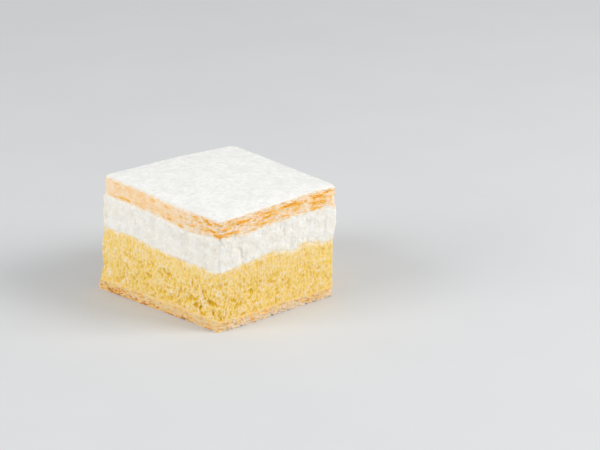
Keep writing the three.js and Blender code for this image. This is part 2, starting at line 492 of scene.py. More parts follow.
@dataclass
class MeshParts:
    """Vertices, faces and per-vertex values of a mesh that is put together from parts."""

    points: list[Array] = field(default_factory=list)
    faces: list[list[int]] = field(default_factory=list)
    values: dict[str, list[Array]] = field(default_factory=dict)
    soft: list[Array] = field(default_factory=list)
    size: int = 0

    def add(
        self,
        points: Array,
        faces: Sequence[Sequence[int]],
        soft: Array | bool = True,
        **values: Array | float,
    ) -> None:
        """Adds a part.

        Args:
            points: Its points in millimetres, in any grid.
            faces: Its faces, as indices into its own points.
            soft: Whether its faces are shaded smoothly, for each face or for all.
            values: Its per-vertex values by name, as arrays or numbers that fit that grid.
        """
        shape = points.shape[:-1]
        self.points.append(points.reshape(-1, 3))
        self.faces.extend([index + self.size for index in face] for face in faces)
        self.soft.append(np.broadcast_to(soft, (len(faces),)))
        for name, value in values.items():
            self.values.setdefault(name, []).append(np.broadcast_to(value, shape).reshape(-1))
        self.size += math.prod(shape)

    def build(self, name: str) -> bpy.types.Object:
        """Makes the object.

        Args:
            name: Name of the piece.

        Returns:
            The linked object, in metres, with its values as point attributes.
        """
        mesh = bpy.data.meshes.new(name)
        mesh.from_pydata((np.concatenate(self.points) * MM).tolist(), [], self.faces)
        for key, columns in self.values.items():
            attribute = mesh.attributes.new(key, "FLOAT", "POINT")
            attribute.data.foreach_set("value", np.concatenate(columns).astype(np.float32))
        mesh.polygons.foreach_set("use_smooth", np.concatenate(self.soft))
        mesh.update()
        piece = bpy.data.objects.new(name, mesh)
        bpy.context.scene.collection.objects.link(piece)
        return piece


def wall_rows(count: int) -> Array:
    """Heights of a wall's rows from 0 to 1, with one very near each end to keep its edge crisp."""
    near = 0.0012
    return np.concatenate(([0], np.linspace(near, 1 - near, count - 2), [1]))


def ring_faces(rows: int, columns: int, closed_rows: bool = False) -> list[list[int]]:
    """Quads of a grid of points whose columns close on themselves.

    Args:
        rows: Number of loops, from bottom to top.
        columns: Points in each loop.
        closed_rows: Whether the last loop joins the first, as in a ring.

    Returns:
        Faces that look outwards.
    """
    low = np.arange(rows if closed_rows else rows - 1)[:, None] * columns
    high = (low + columns) % (rows * columns)
    here = np.arange(columns)[None, :]
    there = (here + 1) % columns
    quads = np.stack((low + here, low + there, high + there, high + here), axis=-1)
    return quads.reshape(-1, 4).tolist()


def cap_faces(first: int, columns: int, point: int, upwards: bool) -> list[list[int]]:
    """Fan from a loop of points to one point.

    Args:
        first: Index of the loop's first point.
        columns: Points in the loop.
        point: Index of the point that the fan meets.
        upwards: Whether the fan looks up.

    Returns:
        Triangles.
    """
    here = np.arange(columns)
    there = (here + 1) % columns
    pair = (first + here, first + there) if upwards else (first + there, first + here)
    return np.stack((*pair, np.full(columns, point)), axis=-1).tolist()


@dataclass(frozen=True)
class Wall:
    """Grid of points on the side of a layer: rows from its floor to its roof, columns round it."""

    form: SliceForm
    stations: Stations
    shares: Array
    floor: Array
    roof: Array
    underside: float | None = None

    @property
    def level(self) -> Array:
        """Share of the layer's height, one for each row."""
        return self.shares[:, None]

    @property
    def z(self) -> Array:
        """Height of every grid point."""
        return self.floor + (self.roof - self.floor) * self.level

    @property
    def above(self) -> Array:
        """How far every grid point lies above the layer's floor."""
        return self.z - self.floor

    @property
    def below(self) -> Array:
        """How far every grid point lies below the layer's roof."""
        return self.roof - self.z

    def at(self, out: Array | float) -> Array:
        """Grid points moved out of the slice."""
        return self.form.point(self.stations.u, self.stations.v, self.z, out)

    def closed(self, out: Array, inner: Sequence[float], parts: MeshParts, **values: Array) -> None:
        """Adds the wall and a floor and a roof inside it, as one closed body.

        Args:
            out: How far each grid point is moved out.
            inner: Sizes of the loops inside the roof and floor, from the wall inwards.
            parts: The mesh that takes it.
            values: Values at the grid points, or for whole rows or columns.
        """
        loops = list(self.at(out))
        columns = self.stations.count
        rows = {name: list(np.broadcast_to(value, out.shape)) for name, value in values.items()}
        for scale, top in itertools.product(inner, (False, True)):
            u = 0.5 + (self.stations.u - 0.5) * scale
            v = 0.5 + (self.stations.v - 0.5) * scale
            z = self.roof if top else self.floor
            middle = float(z.mean()) if top or self.underside is None else self.underside
            z = middle + (z - middle) * scale**3
            loop = self.form.point(u, v, z, (out[-1] if top else out[0]) * scale)
            loops = [*loops, loop] if top else [loop, *loops]
            for name, value in rows.items():
                rows[name] = [*value, value[-1]] if top else [value[0], *value]
        points = np.stack(loops).reshape(-1, 3)
        ends = np.stack((loops[0].mean(axis=0), loops[-1].mean(axis=0)))
        count = len(points)
        faces = ring_faces(len(loops), columns)
        faces += cap_faces(0, columns, count, upwards=False)
        faces += cap_faces(count - columns, columns, count + 1, upwards=True)
        flat = {
            name: np.concatenate((np.stack(value).reshape(-1), (value[0][0], value[-1][0])))
            for name, value in rows.items()
        }
        sides = np.zeros((len(loops) - 1, columns), bool)
        sides[len(inner) : -len(inner)] = True
        soft = np.concatenate((sides.reshape(-1), np.zeros(2 * columns, bool)))
        parts.add(np.concatenate((points, ends)), faces, soft=soft, **flat)


# ---- Materials ----


def srgb(red: int, green: int, blue: int) -> Colour:
    """Linear colour of an sRGB colour given from 0 to 255.

    Args:
        red: Its red.
        green: Its green.
        blue: Its blue.

    Returns:
        The linear colour.
    """

    def linear(value: int) -> float:
        """Linear share of one sRGB value."""
        share = value / 255
        return share / 12.92 if share <= 0.04045 else ((share + 0.055) / 1.055) ** 2.4

    return linear(red), linear(green), linear(blue)


@dataclass(frozen=True)
class FineNoise:
    """Noise in a material.

    Attributes:
        size: Width of its features in metres.
        detail: Number of finer layers.
        stretch: How much longer its features are along X, Y and Z.
        wide: Roughness of its finer layers.
    """

    size: float
    detail: float = 3
    stretch: tuple[float, float, float] = (1, 1, 1)
    wide: float = 0.5


@dataclass(frozen=True)
class Patches:
    """Soft patches: the noise value where they begin, where they are full, and how strong then."""

    noise: FineNoise
    low: float
    high: float
    full: float = 1.0


class Recipe:
    """A material's node tree, put together in short steps."""

    def __init__(self, name: str) -> None:
        """Starts a material with one shader.

        Args:
            name: Name of the material.
        """
        self.material = bpy.data.materials.new(name)
        self.material.use_nodes = True
        self.tree = self.material.node_tree
        self.tree.nodes.clear()
        self.shader = self.tree.nodes.new("ShaderNodeBsdfPrincipled")
        output = self.tree.nodes.new("ShaderNodeOutputMaterial")
        self.tree.links.new(self.shader.outputs[0], output.inputs["Surface"])
        self._place = self.tree.nodes.new("ShaderNodeTexCoord").outputs["Object"]

    def _feed(self, socket: Socket, value: object) -> None:
        """Links a socket to another one, or sets it to a number or a colour.

        Args:
            socket: The socket.
            value: What goes into it.
        """
        if isinstance(value, Socket):
            self.tree.links.new(value, socket)
        elif isinstance(value, tuple) and socket.type == "RGBA":
            socket.default_value = (*value, 1.0)
        else:
            socket.default_value = value

    def _node(self, kind: str, **values: object) -> bpy.types.Node:
        """Adds a node.

        Args:
            kind: Blender's name of its kind.
            values: Values of its sockets by name.

        Returns:
            The node.
        """
        node = self.tree.nodes.new(kind)
        for name, value in values.items():
            self._feed(node.inputs[name], value)
        return node

    def value(self, name: str) -> Socket:
        """A per-vertex value by name.

        Args:
            name: Its name.

        Returns:
            The value.
        """
        node = self._node("ShaderNodeAttribute")
        node.attribute_name = name
        return node.outputs["Fac"]

    def noise(self, noise: FineNoise) -> Socket:
        """Noise of 0 to 1.

        Args:
            noise: Its size and kind.

        Returns:
            The noise.
        """
        scale = tuple(1 / share for share in noise.stretch)
        mapping = self._node("ShaderNodeMapping", Vector=self._place, Scale=scale)
        node = self._node(
            "ShaderNodeTexNoise",
            Vector=mapping.outputs["Vector"],
            Scale=1 / noise.size,
            Detail=noise.detail,
            Roughness=noise.wide,
        )
        return node.outputs["Fac"]

    def ramp(self, place: Socket, *stops: tuple[float, Colour | float]) -> Socket:
        """Colour or number read off a scale.

        Args:
            place: Place on the scale.
            stops: Places with their colours or numbers.

        Returns:
            The colour.
        """
        node = self._node("ShaderNodeValToRGB", Fac=place)
        scale = node.color_ramp.elements
        while len(scale) < len(stops):
            scale.new(0.5)
        for element, (position, colour) in zip(scale, stops):
            element.position = position
            element.color = (*colour, 1) if isinstance(colour, tuple) else (colour,) * 3 + (1,)
        return node.outputs["Color"]

    def patches(self, patches: Patches) -> Socket:
        """How far each place lies in soft patches."""
        noise = self.noise(patches.noise)
        return self.ramp(noise, (patches.low, 0.0), (patches.high, patches.full))

    def layered(
        self,
        colour: Socket | Colour,
        *layers: tuple[Socket | float, Colour],
        blend: str = "MIX",
    ) -> Socket:
        """Colours laid over one another.

        Args:
            colour: The lowest colour.
            layers: Shares and colours of the others, from below.
            blend: Blender's blend type.

        Returns:
            The mixed colour.
        """
        for share, over in layers:
            node = self._node("ShaderNodeMix", Factor=share)
            node.data_type = "RGBA"
            node.blend_type = blend
            colours = (socket for socket in node.inputs if socket.type == "RGBA")
            for socket, value in zip(colours, (colour, over)):
                self._feed(socket, value)
            colour = next(socket for socket in node.outputs if socket.type == "RGBA")
        return colour

    def reckon(self, operation: str, first: Socket | float, second: Socket | float) -> Socket:
        """One number from two.

        Args:
            operation: Blender's name of the operation, such as MULTIPLY.
            first: First number.
            second: Second number.

        Returns:
            The result.
        """
        node = self._node("ShaderNodeMath")
        node.operation = operation
        for socket, value in zip(node.inputs, (first, second)):
            self._feed(socket, value)
        return node.outputs[0]

    def bump(self, *layers: tuple[FineNoise, float]) -> None:
        """Puts fine relief on the shader.

        Args:
            layers: Each a noise and its depth in metres.
        """
        below: dict[str, Socket] = {}
        for noise, depth in layers:
            node = self._node("ShaderNodeBump", Distance=depth, Height=self.noise(noise), **below)
            below = {"Normal": node.outputs["Normal"]}
        self.finish(**below)

    def finish(self, **sockets: object) -> bpy.types.Material:
        """Sets the shader's sockets.

        Args:
            sockets: Values by socket name, with _ for a space.

        Returns:
            The material.
        """
        for name, value in sockets.items():
            self._feed(self.shader.inputs[name.replace("_", " ")], value)
        return self.material


class Finish(Protocol):
    """A finish, which makes its own material."""

    def material(self) -> bpy.types.Material:
        """Makes the material.

        Returns:
            The material.
        """


@dataclass(frozen=True)
class CustardFinish:
    """Set custard, torn open: golden flesh, with painted highlights on its crests and painted shade,
    in deeper gold, in its hollows.
    """

    upper: Colour = srgb(255, 220, 132)
    lower: Colour = srgb(255, 217, 118)
    gold: Colour = srgb(252, 203, 46)
    milk: Colour = srgb(255, 226, 186)
    # painted shade: deeper gold laid into the pits of the tear
    hollow: Colour = srgb(224, 176, 8)
    # painted highlight laid on the crests of the tear
    crest: Colour = srgb(255, 232, 202)
    cream: Colour = srgb(250, 244, 230)
    crumb: Colour = srgb(248, 220, 178)
    # colour multiplied in as painted shade on the right face, towards its front corner
    shade: Colour = (0.8, 0.82, 0.92)
    golden: Patches = Patches(FineNoise(0.0012, 4, wide=0.75), low=0.47, high=0.63)
    milky: Patches = Patches(FineNoise(0.001, 4, (1, 1, 2), wide=0.75), low=0.49, high=0.65)
    pits: tuple[FineNoise, float] = (FineNoise(0.0011, 4), 0.00035)
    grain: tuple[FineNoise, float] = (FineNoise(0.0003, 2), 0.00008)

    def material(self) -> bpy.types.Material:
        """Makes the material.

        Returns:
            The material.
        """
        recipe = Recipe("custard")
        flesh = recipe.layered(
            self.lower,
            (recipe.value("height"), self.upper),
            (recipe.patches(self.golden), self.gold),
            (recipe.patches(self.milky), self.milk),
            (recipe.value("crest"), self.crest),
            (recipe.value("hollow"), self.hollow),
        )
        flesh = recipe.layered(flesh, (recipe.value("dim"), self.shade), blend="MULTIPLY")
        flesh = recipe.layered(
            flesh, (recipe.value("crumbs"), self.crumb), (recipe.value("smear"), self.cream)
        )
        recipe.bump(self.pits, self.grain)
        return recipe.finish(
            Base_Color=flesh,
            Roughness=0.5,
            Specular_IOR_Level=0.3,
            Subsurface_Weight=recipe.reckon("MULTIPLY", recipe.value("glow"), 0.35),
            Subsurface_Radius=(1.0, 0.7, 0.35),
            Subsurface_Scale=0.0009,
        )


@dataclass(frozen=True)
class CreamFinish:
    """Whipped cream: soft matt white, with painted shade, a little warm, in its dents and painted
    highlights on its crests, and tinted by the custard.
    """

    white: Colour = srgb(249, 246, 238)
    # painted highlight on the crests
    painted_highlight_white: Colour = srgb(255, 254, 250)
    # grey of the random dull patches, and painted shade in the dents
    grey_and_painted_shade: Colour = srgb(230, 224, 211)
    custard: Colour = srgb(248, 218, 145)
    crumb: Colour = srgb(252, 224, 180)
    warm: Colour = srgb(251, 238, 220)
    tints: Patches = Patches(FineNoise(0.007), low=0.48, high=0.66, full=0.4)
    dull: Patches = Patches(FineNoise(0.0042, 5, wide=0.65), low=0.4, high=0.74, full=0.9)
    dents: tuple[FineNoise, float] = (FineNoise(0.0013, 4), 0.0003)
    grain: tuple[FineNoise, float] = (FineNoise(0.0004, 2), 0.00007)

    def material(self) -> bpy.types.Material:
        """Makes the material.

        Returns:
            The material.
        """
        recipe = Recipe("whipped_cream")
        body = recipe.layered(
            self.white,
            (recipe.patches(self.tints), self.warm),
            (recipe.patches(self.dull), self.grey_and_painted_shade),
            (recipe.value("hollow"), self.grey_and_painted_shade),
            (recipe.value("crest"), self.painted_highlight_white),
            (recipe.value("smear"), self.custard),
            (recipe.value("crumbs"), self.crumb),
        )
        recipe.bump(self.dents, self.grain)
        return recipe.finish(
            Base_Color=body,
            Roughness=0.6,
            Specular_IOR_Level=0.3,
            Subsurface_Weight=recipe.reckon("MULTIPLY", recipe.value("glow"), 0.25),
            Subsurface_Radius=(1.0, 0.9, 0.75),
            Subsurface_Scale=0.0006,
        )


@dataclass(frozen=True)
class PastryFinish:
    """Baked puff pastry, from pale crumb to browned leaf, with what is smeared or dusted on it."""

    name: str
    pale: Colour
    baked: Colour
    golden: Colour
    brown: Colour
    smear: Colour
    dust: Colour = srgb(250, 248, 243)
    fine: FineNoise = FineNoise(0.0016, 4, (1.6, 1.6, 0.7))
    broad: FineNoise = FineNoise(0.006, 2)
    broad_share: float = 0.8
    leaf_grain: tuple[FineNoise, float] = (FineNoise(0.0008, 3, (1.6, 1.6, 0.7)), 0.00018)
    grain: tuple[FineNoise, float] = (FineNoise(0.00025, 2), 0.00006)

    def material(self) -> bpy.types.Material:
        """Makes the material.

        Returns:
            The material.
        """
        recipe = Recipe(self.name)
        broad = recipe.reckon("MULTIPLY", recipe.noise(self.broad), self.broad_share)
        mottle = recipe.reckon("ADD", recipe.noise(self.fine), broad)
        mottle = recipe.reckon("SUBTRACT", mottle, (1 + self.broad_share) / 2)
        mottle = recipe.reckon("MULTIPLY", mottle, recipe.value("mottle"))
        crust = recipe.ramp(
            recipe.reckon("ADD", recipe.value("toast"), mottle),
            (0.0, self.pale),
            (0.35, self.baked),
            (0.72, self.golden),
            (1.0, self.brown),
        )
        crust = recipe.layered(
            crust, (recipe.value("smear"), self.smear), (recipe.value("dust"), self.dust)
        )
        recipe.bump(self.leaf_grain, self.grain)
        return recipe.finish(
            Base_Color=crust,
            Roughness=0.65,
            Specular_IOR_Level=0.3,
            Subsurface_Weight=0.22,
            Subsurface_Radius=(1.0, 0.6, 0.3),
            Subsurface_Scale=0.0006,
        )


@dataclass(frozen=True)
class SugarFinish:
    """Icing sugar: dry matt white powder, thin enough in places to let the pastry tint it."""

    white: Colour = srgb(252, 250, 245)
    tint: Colour = srgb(230, 228, 223)
    rim: Colour = srgb(253, 238, 214)
    speck: Colour = srgb(240, 224, 200)
    thin: Patches = Patches(FineNoise(0.0021, 5, wide=0.65), low=0.4, high=0.75, full=0.9)
    drifts: Patches = Patches(FineNoise(0.006), low=0.4, high=0.7, full=0.45)
    specks: Patches = Patches(FineNoise(0.0022, 2), low=0.7, high=0.8, full=0.4)
    lumps: tuple[FineNoise, float] = (FineNoise(0.0007, 4), 0.00012)
    grain: tuple[FineNoise, float] = (FineNoise(0.0002, 2), 0.00005)

    def material(self) -> bpy.types.Material:
        """Makes the material.

        Returns:
            The material.
        """
        recipe = Recipe("icing_sugar")
        powder = recipe.layered(
            self.white,
            (recipe.patches(self.thin), self.tint),
            (recipe.patches(self.drifts), self.tint),
            (recipe.patches(self.specks), self.speck),
            (recipe.value("thin"), self.rim),
        )
        recipe.bump(self.lumps, self.grain)
        return recipe.finish(
            Base_Color=powder,
            Roughness=0.95,
            Specular_IOR_Level=0.1,
            Subsurface_Weight=0.1,
            Subsurface_Radius=(1.0, 1.0, 0.95),
            Subsurface_Scale=0.0005,
        )


@dataclass(frozen=True)
class FloorFinish:
    """Pale matt paper under the slice."""

    pale: Colour = srgb(222, 222, 221)
    shade: Colour = srgb(217, 217, 217)
    clouds: FineNoise = FineNoise(0.05)

    def material(self) -> bpy.types.Material:
        """Makes the material.

        Returns:
            The material.
        """
        recipe = Recipe("floor")
        paper = recipe.layered(self.pale, (recipe.noise(self.clouds), self.shade))
        return recipe.finish(Base_Color=paper, Roughness=0.9, Specular_IOR_Level=0.1)


def dress(parts: MeshParts, name: str, node: str, finish: Finish) -> bpy.types.Object:
    """Makes a piece that stands for a node of the frame and rides with it.

    Args:
        parts: Its mesh.
        name: Its name.
        node: The node that it replaces, whose material slot has the same name.
        finish: Its finish.

    Returns:
        The dressed piece.
    """
    piece = parts.build(name)
    piece.data.materials.append(finish.material())
    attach(piece, BODY)
    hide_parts(node)
    return piece


# ---- Soft layers ----


@dataclass(frozen=True)
class Seam:
    """The line between two layers, which wanders along the cut faces and smears a little."""

    form: SliceForm
    surface: Surface
    wander: float
    length: float
    seed: int
    blur: float = 0.8
    blotch: float = 1.5
    blotch_size: float = 2.6
    bias: float = 0.0

    def height(self, u: Array, v: Array) -> Array:
        """Height of the seam at (u, v).

        Args:
            u: Shares along the short side.
            v: Shares along the long side.

        Returns:
            Heights over the plate.
        """
        base = self.form.height(self.surface, u, v)
        places = self.form.point(u, v, base, 0.0)
        places[..., 2] = 0
        return base + Texture(self.length, self.seed, strength=self.wander).rough(places)

    def upper_share(self, points: Array, above: Array, boost: Array | float = 1.0) -> Array:
        """Share of the upper layer in the smeared mixture at points.

        Args:
            points: Points near the seam.
            above: How far each lies above the seam, below it where negative.
            boost: How much larger the blotches are in depth, at each point.

        Returns:
            Shares from 0 to 1.
        """
        blotches = Texture(self.blotch_size, self.seed + 1, octaves=4, squeeze=(1, 1, 0.7))
        mixed = above + self.bias + self.blotch * boost * blotches.rough(points)
        return smooth(-1, 1, mixed / (self.blur * boost))

    def shared_relief(self, points: Array) -> Array:
        """Relief that both layers have right at the seam, so that they meet."""
        return 0.25 + Texture(1.6, self.seed + 2, strength=0.2).rough(points)


@dataclass
class SoftLayer:
    """A soft layer between two seams, torn and smeared where the knife went through."""

    form: SliceForm
    floor: Seam
    roof: Seam
    outset: float = 0.4
    per_side: int = 240
    per_corner: int = 5
    rows: int = 80
    blend_width: float = 0.9
    near_steps: int = 12
    rounding: tuple[float, ...] = (0.015, 0.03, 0.03, 0.02)
    loops: tuple[float, ...] = (0.985, 0.94, 0.6)

    def wall(self) -> Wall:
        """Grid on the cut faces of the layer.

        Returns:
            The grid.
        """
        stations = self.form.stations(self.per_side, self.per_corner, self.rounding)
        floor, roof = (seam.height(stations.u, stations.v) for seam in (self.floor, self.roof))
        return Wall(self.form, stations, wall_rows(self.rows), floor, roof)

    @staticmethod
    def far_right(wall: Wall) -> Array:
        """1 on the right face, but not near its front corner, and 0 on the others."""
        return wall.stations.on(Face.FRONT_RIGHT) * smooth(0.25, 0.5, wall.stations.along)

    def meeting(self, wall: Wall, depth: Array, seam: Seam, away: Array) -> Array:
        """Relief that turns into the soft neighbour's relief at their seam.

        Args:
            wall: The grid.
            depth: Depth of each grid point under the cut.
            seam: The seam with the neighbour.
            away: How far each grid point lies from the seam.

        Returns:
            The changed depths.
        """
        free = smooth(0, self.blend_width, away)
        return depth * free + seam.shared_relief(wall.at(0.0)) * (1 - free)

    def made(
        self, wall: Wall, depth: Array, name: str, node: str, finish: Finish, **values: Array
    ) -> bpy.types.Object:
        """Makes the piece, whose surface lets light in except right beside another layer.

        Args:
            wall: The grid.
            depth: Depth of each grid point under the cut.
            name: Name of the piece.
            node: The node that it replaces.
            finish: Its finish.
            values: Values at the grid points that the finish reads.

        Returns:
            The dressed piece.
        """
        glow = smooth(0.1, 1.6, np.minimum(wall.above, wall.below))
        parts = MeshParts()
        wall.closed(self.outset - depth, self.loops, parts, glow=glow, **values)
        return dress(parts, name, node, finish)


@dataclass
class Custard(SoftLayer):
    """The bed of custard: a sponge-like tear whose crests are painted pale as highlights and whose
    pits are painted golden as shade.
    """

    patch: Texture = Texture(6, 11, strength=0.6)
    broad: Texture = Texture(7, 12, strength=0.3)
    lumps: Texture = Texture(2.2, 13, 2, squeeze=(1.1, 1.1, 0.7), strength=0.3)
    clots: Texture = Texture(1.3, 15, squeeze=(1.05, 1.05, 0.75))
    strokes: Texture = Texture(0.9, 16, 2, squeeze=(1, 1, 0.16), strength=0.16)
    caves: Texture = Texture(3.8, 17, 2, squeeze=(0.8, 0.8, 1.2), strength=0.55)
    milk: Texture = Texture(4.5, 18)
    grit: Texture = Texture(0.8, 19, 2, strength=0.1)
    wide: Texture = Texture(5, 20, 2, strength=0.22)
    veins: Texture = Texture(2.4, 24, 2, squeeze=(1.1, 1.1, 0.7), strength=0.4)
    bend_seed: int = 31
    clot_rise: float = 0.25
    least_torn: float = 0.3
    most_torn: float = 1.5
    usual_steps: int = 60
    dip_steps: tuple[int, int] = (30, 200)
    dip_share: float = 0.18

    def roughness(self, wall: Wall) -> Array:
        """How torn each place is: most low down and near the front corner.

        Args:
            wall: The grid.

        Returns:
            Values of 0.3 and up.
        """
        low = 1 - smooth(0.4, 0.95, wall.level)
        front = np.exp(-(((wall.stations.u + wall.stations.v) / 0.5) ** 2))
        torn = 0.42 + 0.36 * low + 0.6 * front * low + self.patch.rough(wall.at(0.0))
        return np.clip(torn, self.least_torn, self.most_torn)

    def relief(self, wall: Wall) -> Array:
        """Depth of the torn surface under the cut, in millimetres.

        Args:
            wall: The grid.

        Returns:
            The depth of each grid point.
        """
        stations, places, torn = wall.stations, wall.at(0.0), self.roughness(wall)
        moved = bent(places, self.bend_seed, size=1.8, reach=0.7)
        away, _ = self.clots.cells(moved)
        tear = self.lumps.rough(moved) + self.veins.hollows(moved)
        tear = tear + self.caves.pits(0.1, 0.7, moved) * np.minimum(torn, 1)
        tear = tear - self.clot_rise * smooth(0.8, 0.1, away) + self.grit.rough(places)
        right_depth = 0.38 + 0.2 * smooth(0.35, 0.0, stations.along)
        calm = np.where(stations.on(Face.FRONT_RIGHT), right_depth, 1.0)
        held = 0.4 + 0.6 * smooth(0, 1.4, wall.above)
        depth = self.broad.rough(places) + calm * held * torn * (tear + self.wide.rough(moved))
        upper = smooth(0.2, 0.7, wall.level) * (0.6 + smooth(0.3, 1.2, stations.v - stations.u))
        depth = depth + upper * self.strokes.rough(places)
        return self.meeting(wall, depth, self.roof, wall.below)

    def contrast(self, depth: Array) -> Array:
        """How far each place lies in a pit, negative on a ridge, beside what is usual there; painted
        shade and painted highlights follow it.

        Args:
            depth: Depth of each grid point under the cut.

        Returns:
            Values of about -2 to 2.
        """
        cavity = depth - blurred(depth, self.near_steps)
        usual = np.sqrt(blurred(cavity**2, self.usual_steps))
        narrow, broad = (blurred(depth, steps) for steps in self.dip_steps)
        dip = narrow - broad
        return cavity / (usual + 0.04) + self.dip_share * dip / dip.std()

    def build(self) -> bpy.types.Object:
        """Makes the piece.

        Returns:
            The dressed object.
        """
        wall = self.wall()
        stations, places, depth = wall.stations, wall.at(0.0), self.relief(wall)
        contrast = self.contrast(depth)
        right = stations.on(Face.FRONT_RIGHT)
        far_left = stations.on(Face.FRONT_LEFT) * smooth(0.4, 0.05, stations.along)
        # Strength of the painted shade in the pits: more where the custard is torn and on the right
        # face, less on the far left.
        shade = np.minimum(0.2 + 0.15 * right + 0.65 * self.roughness(wall), 1.1)
        # Patches in which the painted highlight on the crests is stronger; it is raised again on the
        # far left.
        milky = 0.3 + 0.7 * self.milk.pits(-0.3, 0.4, places)
        return self.made(
            wall,
            depth,
            name="torn_custard",
            node="custard",
            finish=CustardFinish(),
            height=smooth(0.15, 0.85, wall.level),
            hollow=smooth(-0.3, 1.7, contrast) * shade * (1 - 0.4 * far_left),
            crest=smooth(-0.1, 1.5, -contrast) * milky * (1 + 0.35 * far_left),
            smear=self.roof.upper_share(places, -wall.below, 1 + self.far_right(wall)),
            crumbs=1 - self.floor.upper_share(places, wall.above),
            # Painted shade on the right face, strongest at its front corner.
            dim=0.3 * right * (1 - 0.7 * stations.along),
        )


@dataclass
class WhippedCream(SoftLayer):
    """The band of whipped cream, wiped up and down by the knife, with soft dents."""

    broad: Texture = Texture(8, 31, 2, strength=0.3)
    strokes: Texture = Texture(4.2, 32, 2, strength=0.2)
    grain: Texture = Texture(1.3, 33, 2, squeeze=(1, 1, 0.8))
    dents: Texture = Texture(4.4, 34, 2, squeeze=(1, 1, 0.6), strength=0.42)
    streaks: Texture = Texture(1.5, 35, squeeze=(1, 1, 0.3), strength=0.5)
    soft: Texture = Texture(4.2, 37, strength=0.38)
    bend_seed: int = 51

    def relief(self, wall: Wall) -> Array:
        """Depth of the smeared surface under the cut, in millimetres.

        Args:
            wall: The grid.

        Returns:
            The depth of each grid point.
        """
        places, left = wall.at(0.0), wall.stations.on(Face.FRONT_LEFT)
        moved = bent(places, self.bend_seed, size=3, reach=1.2)
        lie = np.where(left[:, None], (0.6, 0.6, 1), (1, 1, 0.62))
        depth = self.broad.rough(places) + self.soft.rough(moved)
        depth = depth + self.strokes.hollows(moved * lie)
        depth = depth + np.where(left, 0.16, 0.075) * self.grain.rough(moved)
        depth = depth + self.dents.pits(0.1, 0.8, moved)
        depth = depth + 0.8 * left * smooth(1.7, 0.0, wall.below)
        return self.meeting(wall, depth, self.floor, wall.above)

    def scraped(self, wall: Wall) -> Array:
        """Share of pastry crumb that the knife has left beside the left corner.

        Args:
            wall: The grid.

        Returns:
            The share at each grid point.
        """
        places = wall.at(0.0)
        corner = self.form.left_corner(wall.z[:1, 0])
        away = np.linalg.norm((places - corner)[..., :2], axis=-1)
        return 0.55 * smooth(3.2, 0.8, away) * (0.5 + self.streaks.rough(places))

    def build(self) -> bpy.types.Object:
        """Makes the piece.

        Returns:
            The dressed object.
        """
        wall = self.wall()
        places, depth, far_right = wall.at(0.0), self.relief(wall), self.far_right(wall)
        # Painted shade in the dents, weaker on the far part of the right face, and painted
        # highlights on the crests, weaker on the left face.
        cavity = depth - blurred(depth, self.near_steps)
        rough_face = np.where(wall.stations.on(Face.FRONT_LEFT), 0.5, 0.9)
        crumbs = self.roof.upper_share(places, -wall.below)
        return self.made(
            wall,
            depth,
            name="smeared_cream",
            node="whipped_cream",
            finish=CreamFinish(),
            hollow=smooth(0.0, 0.3, cavity) * (1 - 0.5 * far_right),
            crest=smooth(0.02, 0.2, -cavity) * rough_face,
            smear=1 - self.floor.upper_share(places, wall.above, 1 + far_right),
            crumbs=np.maximum(crumbs, self.scraped(wall)),
        )


# ---- Puff pastry ----


@dataclass(frozen=True)
class Browned:
    """A browned dash on a cut face of a sheet of pastry.

    Attributes:
        face: The face.
        along: Its place along the face, as a share.
        level: Its place in the sheet's height, as a share.
        length: Half of its length in millimetres.
        strength: How much browner it is.
        height: Half of its height in millimetres.
    """

    face: Face
    along: float
    level: float
    length: float
    strength: float
    height: float = 0.58

    def at(self, stations: Stations, along: Array, level: Array, height: Array) -> Array:
        """How browned places are by this dash.

        Args:
            stations: Places round the sheet.
            along: Share along the face.
            level: Share of the sheet's height.
            height: Height of the sheet in millimetres.

        Returns:
            Values from 0 to the dash's strength.
        """
        side = SHORT_SIDE if self.face in (Face.FRONT_RIGHT, Face.BACK_LEFT) else LONG_SIDE
        ahead = (along - self.along) * side / self.length
        rise = (level - self.level) * height / self.height
        return self.strength * stations.on(self.face) * np.exp(-(ahead**4) - rise**2)


# Rows of along, level, length, strength and, where it differs, height.
RIGHT_MARKS = (
    (0.215, 0.67, 3.4, 0.8),
    (0.074, 0.21, 4.6, 0.8),
    (0.016, 0.14, 2.2, 0.9, 1.0),
    (0.395, 0.49, 2.8, 0.6),
    (0.539, 0.72, 2.8, 0.85),
    (0.628, 0.7, 3.6, 0.9),
    (0.826, 0.69, 3.1, 0.95),
    (0.8, 0.36, 1.2, 0.7),
    (0.497, 0.59, 3.1, 0.5),
    (0.921, 0.88, 2.6, 0.5),
    (0.299, 0.84, 1.9, 0.5),
    (0.079, 0.87, 1.6, 0.5),
    (0.71, 0.6, 2.4, 0.5),
    (0.654, 0.41, 2.8, 0.5),
    (0.865, 0.41, 2.2, 0.5),
    (0.066, 0.5, 4.0, 0.5),
    (0.36, 0.16, 3.6, 0.3),
)
LEFT_MARKS = (
    (0.188, 0.12, 4.4, 0.5),
    (0.529, 0.12, 2.0, 0.35),
    (0.589, 0.15, 1.1, 0.94),
    (0.684, 0.59, 1.0, 0.76),
    (0.74, 0.59, 1.3, 0.56),
    (0.799, 0.84, 2.2, 0.56),
    (0.841, 0.62, 2.0, 0.66),
    (0.884, 0.8, 1.4, 0.76),
    (0.773, 0.31, 2.2, 0.56),
    (0.933, 0.32, 3.6, 1.0),
    (0.983, 0.14, 2.4, 0.9, 1.0),
    (0.917, 0.65, 1.3, 0.68),
    (0.976, 0.81, 2.2, 0.6),
    (0.431, 0.75, 2.2, 0.21),
    (0.569, 0.75, 2.8, 0.28),
    (0.675, 0.11, 1.5, 0.38),
    (0.316, 0.17, 2.2, 0.21),
)
LID_MARKS = tuple(
    Browned(face, *row)
    for face, rows in ((Face.FRONT_RIGHT, RIGHT_MARKS), (Face.FRONT_LEFT, LEFT_MARKS))
    for row in rows
)


